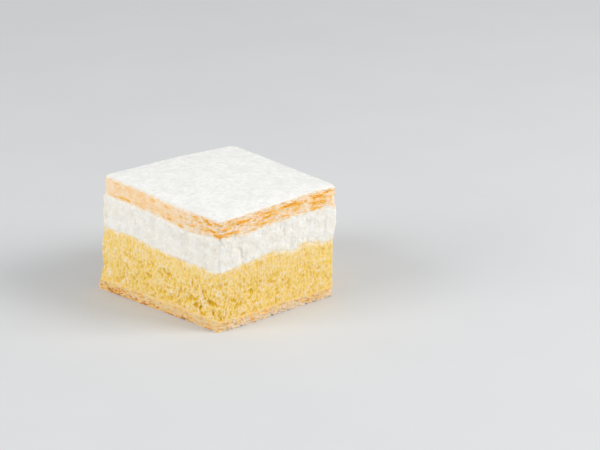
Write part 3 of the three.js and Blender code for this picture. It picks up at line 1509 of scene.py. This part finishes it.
@dataclass(frozen=True)
class Bake:
    """How a sheet of pastry is baked, as browning from 0 to 1 and changes of it.

    Attributes:
        toast: Browning of the whole sheet.
        dash: How much browner the dashes along its leaves are.
        dash_length: Their length in millimetres.
        brown_left: How much browner the far part of the left face is.
        toast_left: How much browner the whole left face is.
        pale_near: How much paler the near part of the left face is.
        pale_right: How much paler the right face is.
        rise_left: How much browner the left face is at the top than at the bottom.
        rise_right: How much browner the right face is at the top than at the bottom.
        clumps: How much browner its clumps of crumb are, where it has no marks.
        marks: Single browned dashes.
    """

    toast: float
    dash: float
    dash_length: float
    brown_left: float
    toast_left: float = 0.0
    pale_near: float = 0.0
    pale_right: float = 0.0
    rise_left: float = 0.0
    rise_right: float = 0.0
    clumps: float = 0.0
    marks: tuple[Browned, ...] = ()

    def browning(self, stations: Stations) -> Array:
        """How much more each place is baked.

        Args:
            stations: Places round the sheet.

        Returns:
            Changes of the browning.
        """
        left, right = stations.on(Face.FRONT_LEFT), stations.on(Face.FRONT_RIGHT)
        far = 1 - smooth(0.1, 0.6, stations.along)
        near = self.pale_near * smooth(0.6, 0.8, stations.along)
        return left * (self.brown_left * far + self.toast_left - near) - self.pale_right * right

    def rise(self, stations: Stations) -> Array:
        """How much more the sheet is baked at its top than at its bottom.

        Args:
            stations: Places round the sheet.

        Returns:
            Changes of the browning.
        """
        left, right = stations.on(Face.FRONT_LEFT), stations.on(Face.FRONT_RIGHT)
        far = 1 - 0.6 * smooth(0.55, 0.8, stations.along)
        return self.rise_left * left * far + self.rise_right * right


@dataclass(frozen=True)
class SheetTextures:
    """Noise of a sheet of pastry, which adds its own seed to theirs."""

    dust: Texture = Texture(1.8, 40, strength=0.7)
    corner: Texture = Texture(2.0, 41, strength=1.2)
    mark_sway: Texture = Texture(1.5, 50, strength=0.012)
    mark_lift: Texture = Texture((2.2, 2.2, 1), 50, shift=30, strength=0.35)
    mark_patch: Texture = Texture((1.6, 1.6, 0.5), 50, 2, shift=60, strength=0.7)
    underside: Texture = Texture(4.5, 70)
    streaks: Texture = Texture((2.5, 2.5, 0.5), 80)
    pores: Texture = Texture(1.4, 82, squeeze=(1, 1, 1.4), strength=0.45)
    clumps: Texture = Texture((2.1, 2.1, 0.7), 83)
    edges: Texture = Texture((4, 4, 0.8), 84, 2)
    bend: Texture = Texture((3.5, 3.5, 2), 85, strength=0.5)
    soak: Texture = Texture((1.7, 1.7, 0.7), 86, strength=1.3)


@dataclass(frozen=True)
class LeafTextures:
    """Noise of a leaf, which adds its own seed to theirs."""

    sway: Texture = Texture(6, strength=0.5)
    waver: Texture = Texture(1.7, shift=20, strength=0.15)
    thickness: Texture = Texture(3.5, shift=50, strength=0.3)
    tatter: Texture = Texture(3.1, shift=90, strength=0.5)
    fray: Texture = Texture(0.9, shift=130, strength=0.5)
    gaps: Texture = Texture(2.6, shift=500)
    fine: Texture = Texture(1.2, octaves=2, shift=300, strength=0.08)
    tone: Texture = Texture(6, octaves=1, shift=400, strength=0.4)


@dataclass(frozen=True)
class Leaves:
    """The leaves of a sheet of pastry, one row for each leaf and one column for each station."""

    middle: Array
    half: Array
    edge: Array
    toast: Array


@dataclass(frozen=True)
class Flake:
    """A loose flake: a small bent shard with a ragged tip, in millimetres."""

    length: float
    width: float
    lift: float
    roll: float
    thick: float
    ragged: Array

    ACROSS: ClassVar[Array] = np.linspace(-1, 1, 6)
    LOOPS: ClassVar[Sequence[tuple[float, float]]] = (
        (-1, -0.9),
        (-1, 0.4),
        (-1, 1.0),
        (1, 1.0),
        (1, 0.4),
        (1, -0.9),
    )

    @classmethod
    def drawn(cls, rng: np.random.Generator) -> "Flake":
        """Draws a flake.

        Args:
            rng: Random draws.

        Returns:
            The flake.
        """
        spans = ((0.2, 0.55), (0.5, 2.0), (-0.5, 0.5), (-0.15, 0.15), (0.03, 0.08))
        sizes = [rng.uniform(*span) for span in spans]
        return cls(*sizes, rng.uniform(-0.3, 0.3, len(cls.ACROSS)))

    def points(self, root: Array, ahead: Array) -> Array:
        """Its points, in loops from one side of its root over the tip to the other side.

        Args:
            root: The middle of its root.
            ahead: The direction in which it stands out, of length 1.

        Returns:
            A grid of points.
        """
        aside = np.array((-ahead[1], ahead[0], 0.0))
        tip = 1 - 0.5 * self.ACROSS**2 + self.ragged
        rows = []
        for step, reach in self.LOOPS:
            out = np.where(reach > 0, reach * tip, reach) * self.length
            bend = self.lift * np.maximum(out, 0) ** 2 + self.roll * self.ACROSS * self.width
            taper = self.ACROSS * self.width * (1 - 0.15 * max(reach, 0))
            row = root + out[:, None] * ahead + taper[:, None] * aside
            rows.append(row + (bend + step * self.thick)[:, None] * UP)
        points = np.stack(rows)
        points[..., 2] = np.maximum(points[..., 2], 0)
        return points

    @classmethod
    def faces(cls) -> list[list[int]]:
        """Its faces: a closed tube of quads and its two ends.

        Returns:
            The faces.
        """
        index = np.arange(len(cls.LOOPS) * len(cls.ACROSS)).reshape(len(cls.LOOPS), -1)
        after = np.roll(index, -1, axis=0)
        tube = np.stack((index[:, :-1], index[:, 1:], after[:, 1:], after[:, :-1]), axis=-1)
        return [*tube.reshape(-1, 4).tolist(), index[::-1, 0].tolist(), index[:, -1].tolist()]


@dataclass
class PuffPastry:
    """A baked sheet of puff pastry: a crumbly body, leaves with ragged edges and loose flakes."""

    form: SliceForm
    name: str
    node: str
    floor: Seam | None
    roof: Seam
    finish: PastryFinish
    bake: Bake
    leaves: int
    outset: float
    ragged: float
    groove: float
    crumb: float
    crumb_size: float
    flakes: int
    body_rows: int
    seed: int
    dusted: bool = False
    pressed_left: float = 0.0
    soak_left: float = 0.0
    rounding: tuple[float, ...] = (0.02, 0.05, 0.05, 0.03)
    lift: float = 1.0
    inset: float = 0.1
    per_side: int = 250
    per_corner: int = 6
    leaf_depth: float = 3.0
    noise_step: float = 40.0
    near_steps: int = 8
    loops: tuple[float, ...] = (0.96, 0.6)
    textures: SheetTextures = SheetTextures()
    leaf: LeafTextures = LeafTextures()

    def heights(self, stations: Stations) -> tuple[Array, Array]:
        """Floor and roof of the sheet at the stations.

        Args:
            stations: Places round the sheet.

        Returns:
            Their heights.
        """
        roof = self.roof.height(stations.u, stations.v)
        if self.floor:
            return self.floor.height(stations.u, stations.v), roof
        places = self.form.point(stations.u, stations.v, np.zeros_like(roof), 0.0)
        return self.lift * self.textures.underside.pits(0.05, 0.6, places, self.seed), roof

    def pressed(self, stations: Stations) -> Array:
        """How far the knife has pressed the leaves together, from 0 to 1, at each station."""
        far = 1 - smooth(0.5, 0.85, stations.along)
        return self.pressed_left * stations.on(Face.FRONT_LEFT) * far

    def soak(self, stations: Stations, points: Array, level: Array | float) -> Array:
        """How far the soft layer above has soaked into the left face.

        Args:
            stations: Places round the sheet.
            points: Points, one row of them for each loop.
            level: Their shares of the sheet's height.

        Returns:
            The share of the soft layer at each point.
        """
        patchy = level + self.textures.soak.rough(points, self.seed)
        return self.soak_left * stations.on(Face.FRONT_LEFT) * smooth(0.35, 0.85, patchy)

    def dust(self, points: Array, below: Array | float) -> Array:
        """Share of sugar dust at points, by how far they lie below the top of the sheet."""
        patches = self.textures.dust.rough(points, self.seed)
        return self.dusted * smooth(0.0, 1.2, 0.8 + patches - below / 1.4)

    def smear(self, points: Array, below: Array | float, above: Array | float) -> Array:
        """Share of the neighbouring soft layer that is smeared on the pastry.

        Args:
            points: Points on the sheet.
            below: How far each lies below the sheet's top.
            above: How far each lies above its foot.

        Returns:
            Shares from 0 to 1.
        """
        if self.floor is None:
            return self.roof.upper_share(points, -below)
        corner = self.form.left_corner(points.reshape(-1, 3)[:1, 2])
        away = np.hypot(points[..., 0] - corner[0], points[..., 1] - corner[1])
        patches = self.textures.corner.rough(points, self.seed)
        at_corner = 0.45 * smooth(4.0, 1.5, away + patches)
        return np.maximum(at_corner, 1 - self.floor.upper_share(points, above))

    def marked(self, stations: Stations, points: Array) -> Array:
        """Browning by the marks, or by clumps of crumb where the sheet has none.

        Args:
            stations: Places round the sheet.
            points: Points, one row of them for each loop.

        Returns:
            Browning of each point.
        """
        if not self.bake.marks:
            weight = 0.55 + 1.6 * np.maximum(self.bake.browning(stations), 0)
            clumps = self.textures.clumps.pits(-0.15, 0.5, points, self.seed)
            return self.bake.clumps * weight * (clumps - 0.35)
        floor, roof = self.heights(stations)
        along = stations.along + self.textures.mark_sway.rough(points, self.seed)
        z = points[..., 2] + self.textures.mark_lift.rough(points, self.seed)
        level = (z - floor) / (roof - floor)
        marks = [mark.at(stations, along, level, roof - floor) for mark in self.bake.marks]
        patchy = 0.95 + self.textures.mark_patch.rough(points, self.seed)
        return np.max(marks, axis=0) * np.clip(patchy, 0.3, 1.3)

    def plan_leaf(self, stations: Stations, index: int) -> tuple[Array, Array, Array, Array]:
        """Lays out one leaf.

        Args:
            stations: Places round the sheet.
            index: Its number, from the bottom.

        Returns:
            Its middle, half thickness, edge and browning.
        """
        floor, roof = self.heights(stations)
        pitch, pressed, seed = (roof - floor) / self.leaves, self.pressed(stations), self.seed
        track = self.form.point(stations.u, stations.v, floor, 0.0)
        track[:, 2] = 0
        shared = Texture(self.bake.dash_length, 30, 1, strength=0.55).rough(track, seed)
        track[:, 2] = self.noise_step * index
        seed += index
        sway = self.leaf.sway.rough(track, seed) + self.leaf.waver.rough(track, seed)
        thick = pitch * np.clip(0.28 + self.leaf.thickness.rough(track, seed), 0.1, 0.45)
        middle = np.clip(floor + pitch * (index + 0.5 + sway), floor + thick, roof - thick)
        tatter = self.leaf.tatter.rough(track, seed) + self.leaf.fray.rough(track, seed)
        broken = 1 - self.leaf.gaps.pits(-0.2, 0.15, track, seed)
        back = 0.2 + 0.7 * tatter + 0.5 * pressed + 0.8 * broken
        run = Texture(self.bake.dash_length, 0, 2, shift=200, strength=0.75).rough(track, seed)
        fine = self.leaf.fine.rough(track, seed)
        dash = smooth(0.0, 0.35, run + shared * (-1) ** index + fine)
        dash = dash * (0.8 + self.leaf.tone.rough(track, seed))
        keep = 1 - 0.85 * pressed * (index > 0)
        baked = self.bake.toast + self.bake.browning(stations)
        baked = baked + ((index + 0.5) / self.leaves - 0.5) * self.bake.rise(stations)
        toast = baked + (self.bake.dash * dash + fine) * keep
        return middle, thick, self.outset - self.ragged * back, toast

    def rings(self, stations: Stations, leaves: Leaves, parts: MeshParts) -> None:
        """Adds the leaves, each a ring with a ragged outer edge.

        Args:
            stations: Places round the sheet.
            leaves: The leaves.
            parts: The mesh that takes them.
        """
        floor, roof = self.heights(stations)
        shape = ((-self.leaf_depth, -1), (0, -0.4), (0, 0.4), (-self.leaf_depth, 1))
        faces = ring_faces(len(shape), stations.count, closed_rows=True)
        for index in range(self.leaves):
            middle, half, edge = leaves.middle[index], leaves.half[index], leaves.edge[index]
            loops = [(middle + half * rise, edge + inward) for inward, rise in shape]
            points = np.stack([self.form.point(stations.u, stations.v, *loop) for loop in loops])
            below, above = roof - points[..., 2], points[..., 2] - floor
            soak = self.soak(stations, points, (index + 0.5) / self.leaves)
            parts.add(
                points,
                faces,
                soft=False,
                toast=leaves.toast[index] + self.marked(stations, points),
                dust=self.dust(points, below),
                smear=np.maximum(self.smear(points, below, above), soak),
                mottle=1 - 0.2 * self.pressed(stations),
            )

    def crumble(self, wall: Wall) -> tuple[Array, Array]:
        """Relief of the body behind the leaves' edges.

        Args:
            wall: The grid.

        Returns:
            Depth of each grid point, and how much more it is baked by its place in the relief.
        """
        stations, places = wall.stations, wall.at(0.0)
        pressed = self.pressed(stations)
        sheet = places.copy()
        sheet[..., 2] = wall.above
        sheet[..., 2] += self.textures.bend.rough(sheet, self.seed)
        edges = self.textures.edges.ridges(sheet, self.seed)
        streaks = self.textures.streaks.rough(places, self.seed) * (1 - 0.6 * pressed)
        away, draw = Texture(self.crumb_size, 81).cells(places, self.seed)
        crumbs = (1 - smooth(0.1, 0.75, away)) * (0.4 + 0.6 * draw)
        near_left = 0.3 * smooth(0.5, 0.85, stations.along)
        porous = np.where(stations.on(Face.FRONT_LEFT), near_left, self.crumb)
        grooves = self.groove * (1 - smooth(0.25, 0.85, edges)) * (1 - 0.85 * pressed)
        depth = self.inset * (1 - pressed) + grooves + 0.08 * streaks
        depth = depth + self.crumb * (0.6 - crumbs)
        depth = depth + self.textures.pores.pits(0.1, 0.6, places, self.seed) * porous
        baked = 0.15 * (smooth(0.55, 0.85, edges) - 0.4) * (1 - 0.8 * pressed)
        return depth, baked + 0.1 * streaks + 0.4 * self.crumb * (draw - 0.5)

    def body(self, stations: Stations, leaves: Leaves, parts: MeshParts) -> None:
        """Adds the closed body behind the leaves' edges, which follows their layers.

        Args:
            stations: Places round the sheet.
            leaves: The leaves.
            parts: The mesh that takes it.
        """
        on_plate = self.floor is None
        floor, roof = self.heights(stations)
        rows = wall_rows(self.body_rows)
        wall = Wall(self.form, stations, rows, floor, roof, underside=0.0 if on_plate else None)
        places = wall.at(0.0)
        depth, baked = self.crumble(wall)
        cavity = np.clip(depth - blurred(depth, self.near_steps), -0.3, 0.4)
        nearest = np.abs(wall.z - leaves.middle[:, None, :]).argmin(axis=0)
        toast = np.take_along_axis(leaves.toast, nearest, axis=0)
        # Painted shade: crevices between the leaves are painted browner, as warm shade, and dust is
        # kept out of them below.
        toast = toast + baked + 0.8 * cavity + self.marked(stations, places)
        if on_plate:
            # Painted light: the fringe along the bottom, except on the left face, is painted paler
            # against the shade of the curled underside.
            paler = 0.2 * smooth(1.2, 0.2, wall.above)
            toast = toast - paler * ~stations.on(Face.FRONT_LEFT)
        smear = self.smear(places, wall.below, wall.above)
        wall.closed(
            self.outset - depth,
            self.loops,
            parts,
            toast=toast,
            dust=self.dust(places, wall.below) * (1 - smooth(0.0, 0.2, cavity)),
            smear=np.maximum(smear, self.soak(stations, places, wall.above / (roof - floor))),
            mottle=1 - 0.2 * self.pressed(stations),
        )

    def add_flake(self, rng: np.random.Generator, stations: Stations, parts: MeshParts) -> None:
        """Adds one loose flake, which lies in the leaves and stands out a little.

        Args:
            rng: Random draws.
            stations: Places round the sheet.
            parts: The mesh that takes it.
        """
        place = stations.only(int(rng.integers(stations.count)))
        if rng.random() < self.pressed(place)[0]:
            return
        floor, roof = self.heights(place)
        z = floor + (roof - floor) * rng.uniform(0.1, 0.9)
        outs = (self.outset - self.ragged * 0.6, 0.0, 1.0)
        root, start, end = (self.form.point(place.u, place.v, z, out)[0] for out in outs)
        ahead = (end - start) / np.linalg.norm(end - start)
        points = Flake.drawn(rng).points(root, ahead)
        below, above = float(roof[0] - z[0]), float(z[0] - floor[0])
        toast = self.bake.toast + self.bake.browning(place)[0]
        toast = toast + self.bake.dash * rng.uniform(-0.2, 0.7)
        parts.add(
            points,
            Flake.faces(),
            toast=toast + self.marked(place, root.reshape(1, 1, 3))[0, 0],
            dust=self.dust(points, below),
            smear=self.smear(points, below, above),
            mottle=1.0,
        )

    def build(self) -> bpy.types.Object:
        """Makes the piece.

        Returns:
            The dressed object.
        """
        parts = MeshParts()
        stations = self.form.stations(self.per_side, self.per_corner, self.rounding)
        planned = [self.plan_leaf(stations, index) for index in range(self.leaves)]
        leaves = Leaves(*(np.stack(part) for part in zip(*planned)))
        self.body(stations, leaves, parts)
        self.rings(stations, leaves, parts)
        rng = np.random.default_rng(self.seed)
        for _ in range(self.flakes):
            self.add_flake(rng, stations, parts)
        return dress(parts, self.name, self.node, self.finish)


# ---- Icing sugar ----


@dataclass
class IcingSugar:
    """The skin of icing sugar, drifted and soft, with a ragged rim."""

    form: SliceForm
    floor: Seam
    ragged: float = 0.55
    depth: float = 1.0
    rim: tuple[float, float, float, float] = (0.3, 0.3, 0.9, 0.3)
    cells: tuple[int, int] = (190, 210)
    rounding: tuple[float, ...] = (0.02, 0.07, 0.05, 0.03)
    half_side: float = 35.0
    film: float = 0.05
    tatter: Texture = Texture(4.5, 71, strength=0.5)
    fray: Texture = Texture(1.2, 71, shift=40, strength=0.5)
    drift: Texture = Texture(13, 71, 2, shift=7, strength=0.2)
    ripple: Texture = Texture(3.2, 71, shift=19, strength=0.13)
    powder: Texture = Texture(0.9, 72, 2, strength=0.09)
    worn: Texture = Texture(2.2, 73, strength=0.9)
    skirt: Texture = Texture((1.6, 1.6, 9), 74, strength=0.45)
    crumbs: Texture = Texture(1.1, 75, 2)

    def outline(self, a: Array, b: Array) -> tuple[Array, Array]:
        """Places on the rounded outline for places on the edge of the square from -1 to 1.

        Args:
            a: First coordinate on the square's edge.
            b: Second coordinate on the square's edge.

        Returns:
            Both coordinates on the rounded outline.
        """
        radius = 2 * self.form.across(self.rounding, (a + 1) / 2, (b + 1) / 2)
        beyond_a, beyond_b = (np.maximum(np.abs(edge) - (1 - radius), 0) for edge in (a, b))
        length = np.maximum(np.hypot(beyond_a, beyond_b), 1e-9)
        pull = np.where((beyond_a > 0) & (beyond_b > 0), radius / length, 1.0)
        new_a = np.sign(a) * (np.abs(a) - beyond_a + beyond_a * pull)
        new_b = np.sign(b) * (np.abs(b) - beyond_b + beyond_b * pull)
        return new_a, new_b

    def thickness(self, u: Array, v: Array, places: Array, inside: Array) -> Array:
        """Thickness of the sugar.

        Args:
            u: Shares along the short side.
            v: Shares along the long side.
            places: Points on the sheet under it.
            inside: How far each of them lies inside the rim.

        Returns:
            Its thickness at each point.
        """
        rim = self.form.across(self.rim, u, v)
        cover = rim * np.minimum(inside / 0.7, 1) + (1 - rim) * smooth(0, 8, inside)
        loose = self.drift.rough(places) + self.ripple.rough(places) + self.powder.rough(places)
        crumbs = np.maximum(self.crumbs.rough(places), 0) * smooth(3.0, 0.8, inside)
        return cover * (self.depth + loose + 0.7 * crumbs) + self.film

    def faces(self) -> tuple[list[list[int]], Array]:
        """Its faces.

        Returns:
            The faces of its top, its skirt and its underside, and the rim's indices in the top.
        """
        index = np.arange(math.prod(self.cells)).reshape(self.cells)
        top = np.stack((index[:-1, :-1], index[1:, :-1], index[1:, 1:], index[:-1, 1:]), axis=-1)
        rim = np.concatenate((index[:, 0], index[-1, 1:], index[-2::-1, -1], index[0, -2:0:-1]))
        under = index.size + np.arange(len(rim))
        skirt = np.stack((under, np.roll(under, -1), np.roll(rim, -1), rim), axis=-1)
        faces = top.reshape(-1, 4).tolist() + skirt.tolist()
        return faces + cap_faces(index.size, len(rim), index.size + len(rim), upwards=False), rim

    def build(self) -> bpy.types.Object:
        """Makes the piece.

        Returns:
            The dressed object.
        """
        a, b = np.meshgrid(*(np.linspace(-1, 1, count) for count in self.cells), indexing="ij")
        level = np.maximum(np.maximum(np.abs(a), np.abs(b)), 1e-6)
        edge_a, edge_b = self.outline(a / level, b / level)
        u, v = 0.5 + 0.5 * level * edge_a, 0.5 + 0.5 * level * edge_b
        base = self.floor.height(u, v)
        rim_places = self.form.point(0.5 + 0.5 * edge_a, 0.5 + 0.5 * edge_b, base, 0.0)
        out = self.ragged * (self.tatter.rough(rim_places) + self.fray.rough(rim_places))
        places = self.form.point(u, v, base, out * smooth(0.9, 1.0, level))
        inside = (1 - level) * self.half_side
        top = places + self.thickness(u, v, places, inside)[..., None] * UP
        faces, rim = self.faces()
        under = places.reshape(-1, 3)[rim]
        under[:, 2] -= self.skirt.pits(-0.3, 0.6, under)
        middle = under.mean(axis=0, keepdims=True)
        middle[:, 2] = self.floor.height(np.array([0.5]), np.array([0.5]))
        worn = np.maximum(1.2 + self.worn.rough(places), 0.3)
        thin = 0.4 * smooth(1.0, 0.0, inside / worn).reshape(-1)
        parts = MeshParts()
        parts.add(
            np.concatenate((top.reshape(-1, 3), under, middle)),
            faces,
            thin=np.concatenate((thin, np.full(len(rim) + 1, 0.8))),
        )
        return dress(parts, "icing_sugar_skin", "icing_sugar", SugarFinish())


# ---- Studio ----


def aim(thing: bpy.types.Object, place: Vector, target: Vector) -> None:
    """Puts a light or a camera in its place, links it and lets it look at a point.

    Args:
        thing: The light or camera.
        place: Its place.
        target: The point.
    """
    thing.location = place
    thing.rotation_euler = (target - place).to_track_quat("-Z", "Y").to_euler()
    bpy.context.scene.collection.objects.link(thing)


@dataclass(frozen=True)
class SoftBox:
    """A square soft light that looks at the slice."""

    name: str
    azimuth: float
    elevation: float
    distance: float
    size: float
    power: float

    def build(self, target: Vector) -> None:
        """Adds the light.

        Args:
            target: The point that it looks at.
        """
        turn, rise = math.radians(self.azimuth), math.radians(self.elevation)
        level = math.cos(rise)
        away = Vector((math.sin(turn) * level, -math.cos(turn) * level, math.sin(rise)))
        data = bpy.data.lights.new(self.name, "AREA")
        data.energy = self.power
        data.size = self.size
        aim(bpy.data.objects.new(self.name, data), target + away * self.distance, target)


@dataclass(frozen=True)
class Studio:
    """Plain pale floor, soft light and the camera."""

    eye: tuple[float, float, float] = (-0.81497, -0.98159, 0.50977)
    target: tuple[float, float, float] = (0.08094, 0.0382, 0.0)
    lens: float = 187.48
    sensor: float = 36.0
    farthest: float = 50.0
    floor_size: float = 12.0
    sky: Colour = (0.93, 0.96, 1.0)
    sky_strength: float = 0.5
    lit_point: tuple[float, float, float] = (0.0, 0.0, 0.03)
    lights: tuple[SoftBox, ...] = (
        SoftBox("key", azimuth=38, elevation=34, distance=1.3, size=0.7, power=10.5),
        SoftBox("left_fill", azimuth=-105, elevation=30, distance=1.4, size=0.8, power=9.0),
    )

    def add_floor(self) -> None:
        """Adds the floor."""
        half = self.floor_size / 2
        mesh = bpy.data.meshes.new("floor")
        corners = [(-half, -half, 0), (half, -half, 0), (half, half, 0), (-half, half, 0)]
        mesh.from_pydata(corners, [], [[0, 1, 2, 3]])
        mesh.materials.append(FloorFinish().material())
        floor = bpy.data.objects.new("floor", mesh)
        bpy.context.scene.collection.objects.link(floor)

    def add_light(self) -> None:
        """Adds the sky and the lights."""
        world = bpy.data.worlds.new("sky")
        world.use_nodes = True
        background = world.node_tree.nodes["Background"]
        background.inputs["Color"].default_value = (*self.sky, 1)
        background.inputs["Strength"].default_value = self.sky_strength
        bpy.context.scene.world = world
        for light in self.lights:
            light.build(Vector(self.lit_point))

    def add_camera(self) -> None:
        """Adds the camera."""
        data = bpy.data.cameras.new("camera")
        data.lens = self.lens
        data.sensor_width = self.sensor
        data.clip_end = self.farthest
        camera = bpy.data.objects.new("camera", data)
        aim(camera, Vector(self.eye), Vector(self.target))
        bpy.context.scene.camera = camera
        bpy.context.scene.view_settings.view_transform = "Standard"

    def build(self) -> None:
        """Adds everything."""
        self.add_floor()
        self.add_light()
        self.add_camera()


# ---- The slice ----


def foot(form: SliceForm, roof: Seam) -> PuffPastry:
    """The thin flaky foot, which has soaked up some custard on its left face.

    Args:
        form: The form of the slice.
        roof: Its upper surface.

    Returns:
        The foot.
    """
    finish = PastryFinish(
        "bottom_pastry",
        pale=srgb(238, 214, 182),
        baked=srgb(245, 203, 138),
        golden=srgb(250, 190, 104),
        brown=srgb(206, 144, 78),
        smear=srgb(254, 220, 140),
    )
    bake = Bake(
        toast=0.36,
        dash=0.08,
        dash_length=2.8,
        brown_left=0.44,
        toast_left=0.12,
        pale_near=0.1,
        pale_right=0.13,
        rise_left=-0.6,
        rise_right=0.4,
        clumps=1.3,
    )
    return PuffPastry(
        form,
        name="flaky_foot",
        node="bottom_pastry",
        floor=None,
        roof=roof,
        finish=finish,
        bake=bake,
        leaves=4,
        outset=0.95,
        ragged=0.9,
        groove=0.3,
        crumb=0.34,
        crumb_size=1.4,
        flakes=140,
        body_rows=30,
        seed=101,
        soak_left=0.45,
        rounding=(0.015, 0.05, 0.03, 0.03),
    )


def lid(form: SliceForm, floor: Seam, roof: Seam) -> PuffPastry:
    """The leafy lid, whose left face the knife has pressed and which is dusted with sugar.

    Args:
        form: The form of the slice.
        floor: Its lower surface.
        roof: Its upper surface.

    Returns:
        The lid.
    """
    finish = PastryFinish(
        "top_pastry",
        pale=srgb(255, 230, 202),
        baked=srgb(255, 208, 146),
        golden=srgb(252, 186, 66),
        brown=srgb(246, 160, 24),
        smear=srgb(250, 244, 232),
    )
    bake = Bake(
        toast=0.16, dash=0.48, dash_length=4.0, brown_left=0.03, pale_near=0.12, marks=LID_MARKS
    )
    return PuffPastry(
        form,
        name="leafy_lid",
        node="top_pastry",
        floor=floor,
        roof=roof,
        finish=finish,
        bake=bake,
        leaves=8,
        outset=0.45,
        ragged=0.7,
        groove=0.35,
        crumb=0.1,
        crumb_size=1.3,
        flakes=60,
        body_rows=48,
        seed=201,
        dusted=True,
        pressed_left=1.0,
    )


def report(piece: bpy.types.Object) -> None:
    """Logs a piece's size and number of faces."""
    size = [round(value / MM, 1) for value in piece.dimensions]
    log.info("%s: %s mm, %d faces", piece.name, size, len(piece.data.polygons))


def main() -> None:
    """Builds the studio and the layers, and reports each piece."""
    logging.basicConfig(level=logging.INFO, format="%(name)s: %(message)s")
    form = SliceForm()
    foot_top = Seam(form, FOOT_TOP, 0.5, 3.0, 3, blur=1.0, blotch=1.7, blotch_size=2.2, bias=0.2)
    custard_top = Seam(form, CUSTARD_TOP, wander=0.35, length=3.0, seed=5, blur=1.1, blotch=1.8)
    cream_top = Seam(form, CREAM_TOP, wander=0.4, length=3.0, seed=7, blur=1.2, blotch=2.4)
    lid_top = Seam(form, LID_TOP, wander=0.12, length=6.0, seed=9)
    Studio().build()
    report(foot(form, foot_top).build())
    report(Custard(form, foot_top, custard_top).build())
    report(WhippedCream(form, custard_top, cream_top).build())
    report(lid(form, cream_top, lid_top).build())
    report(IcingSugar(form, lid_top).build())


if __name__ == "__main__":
    main()
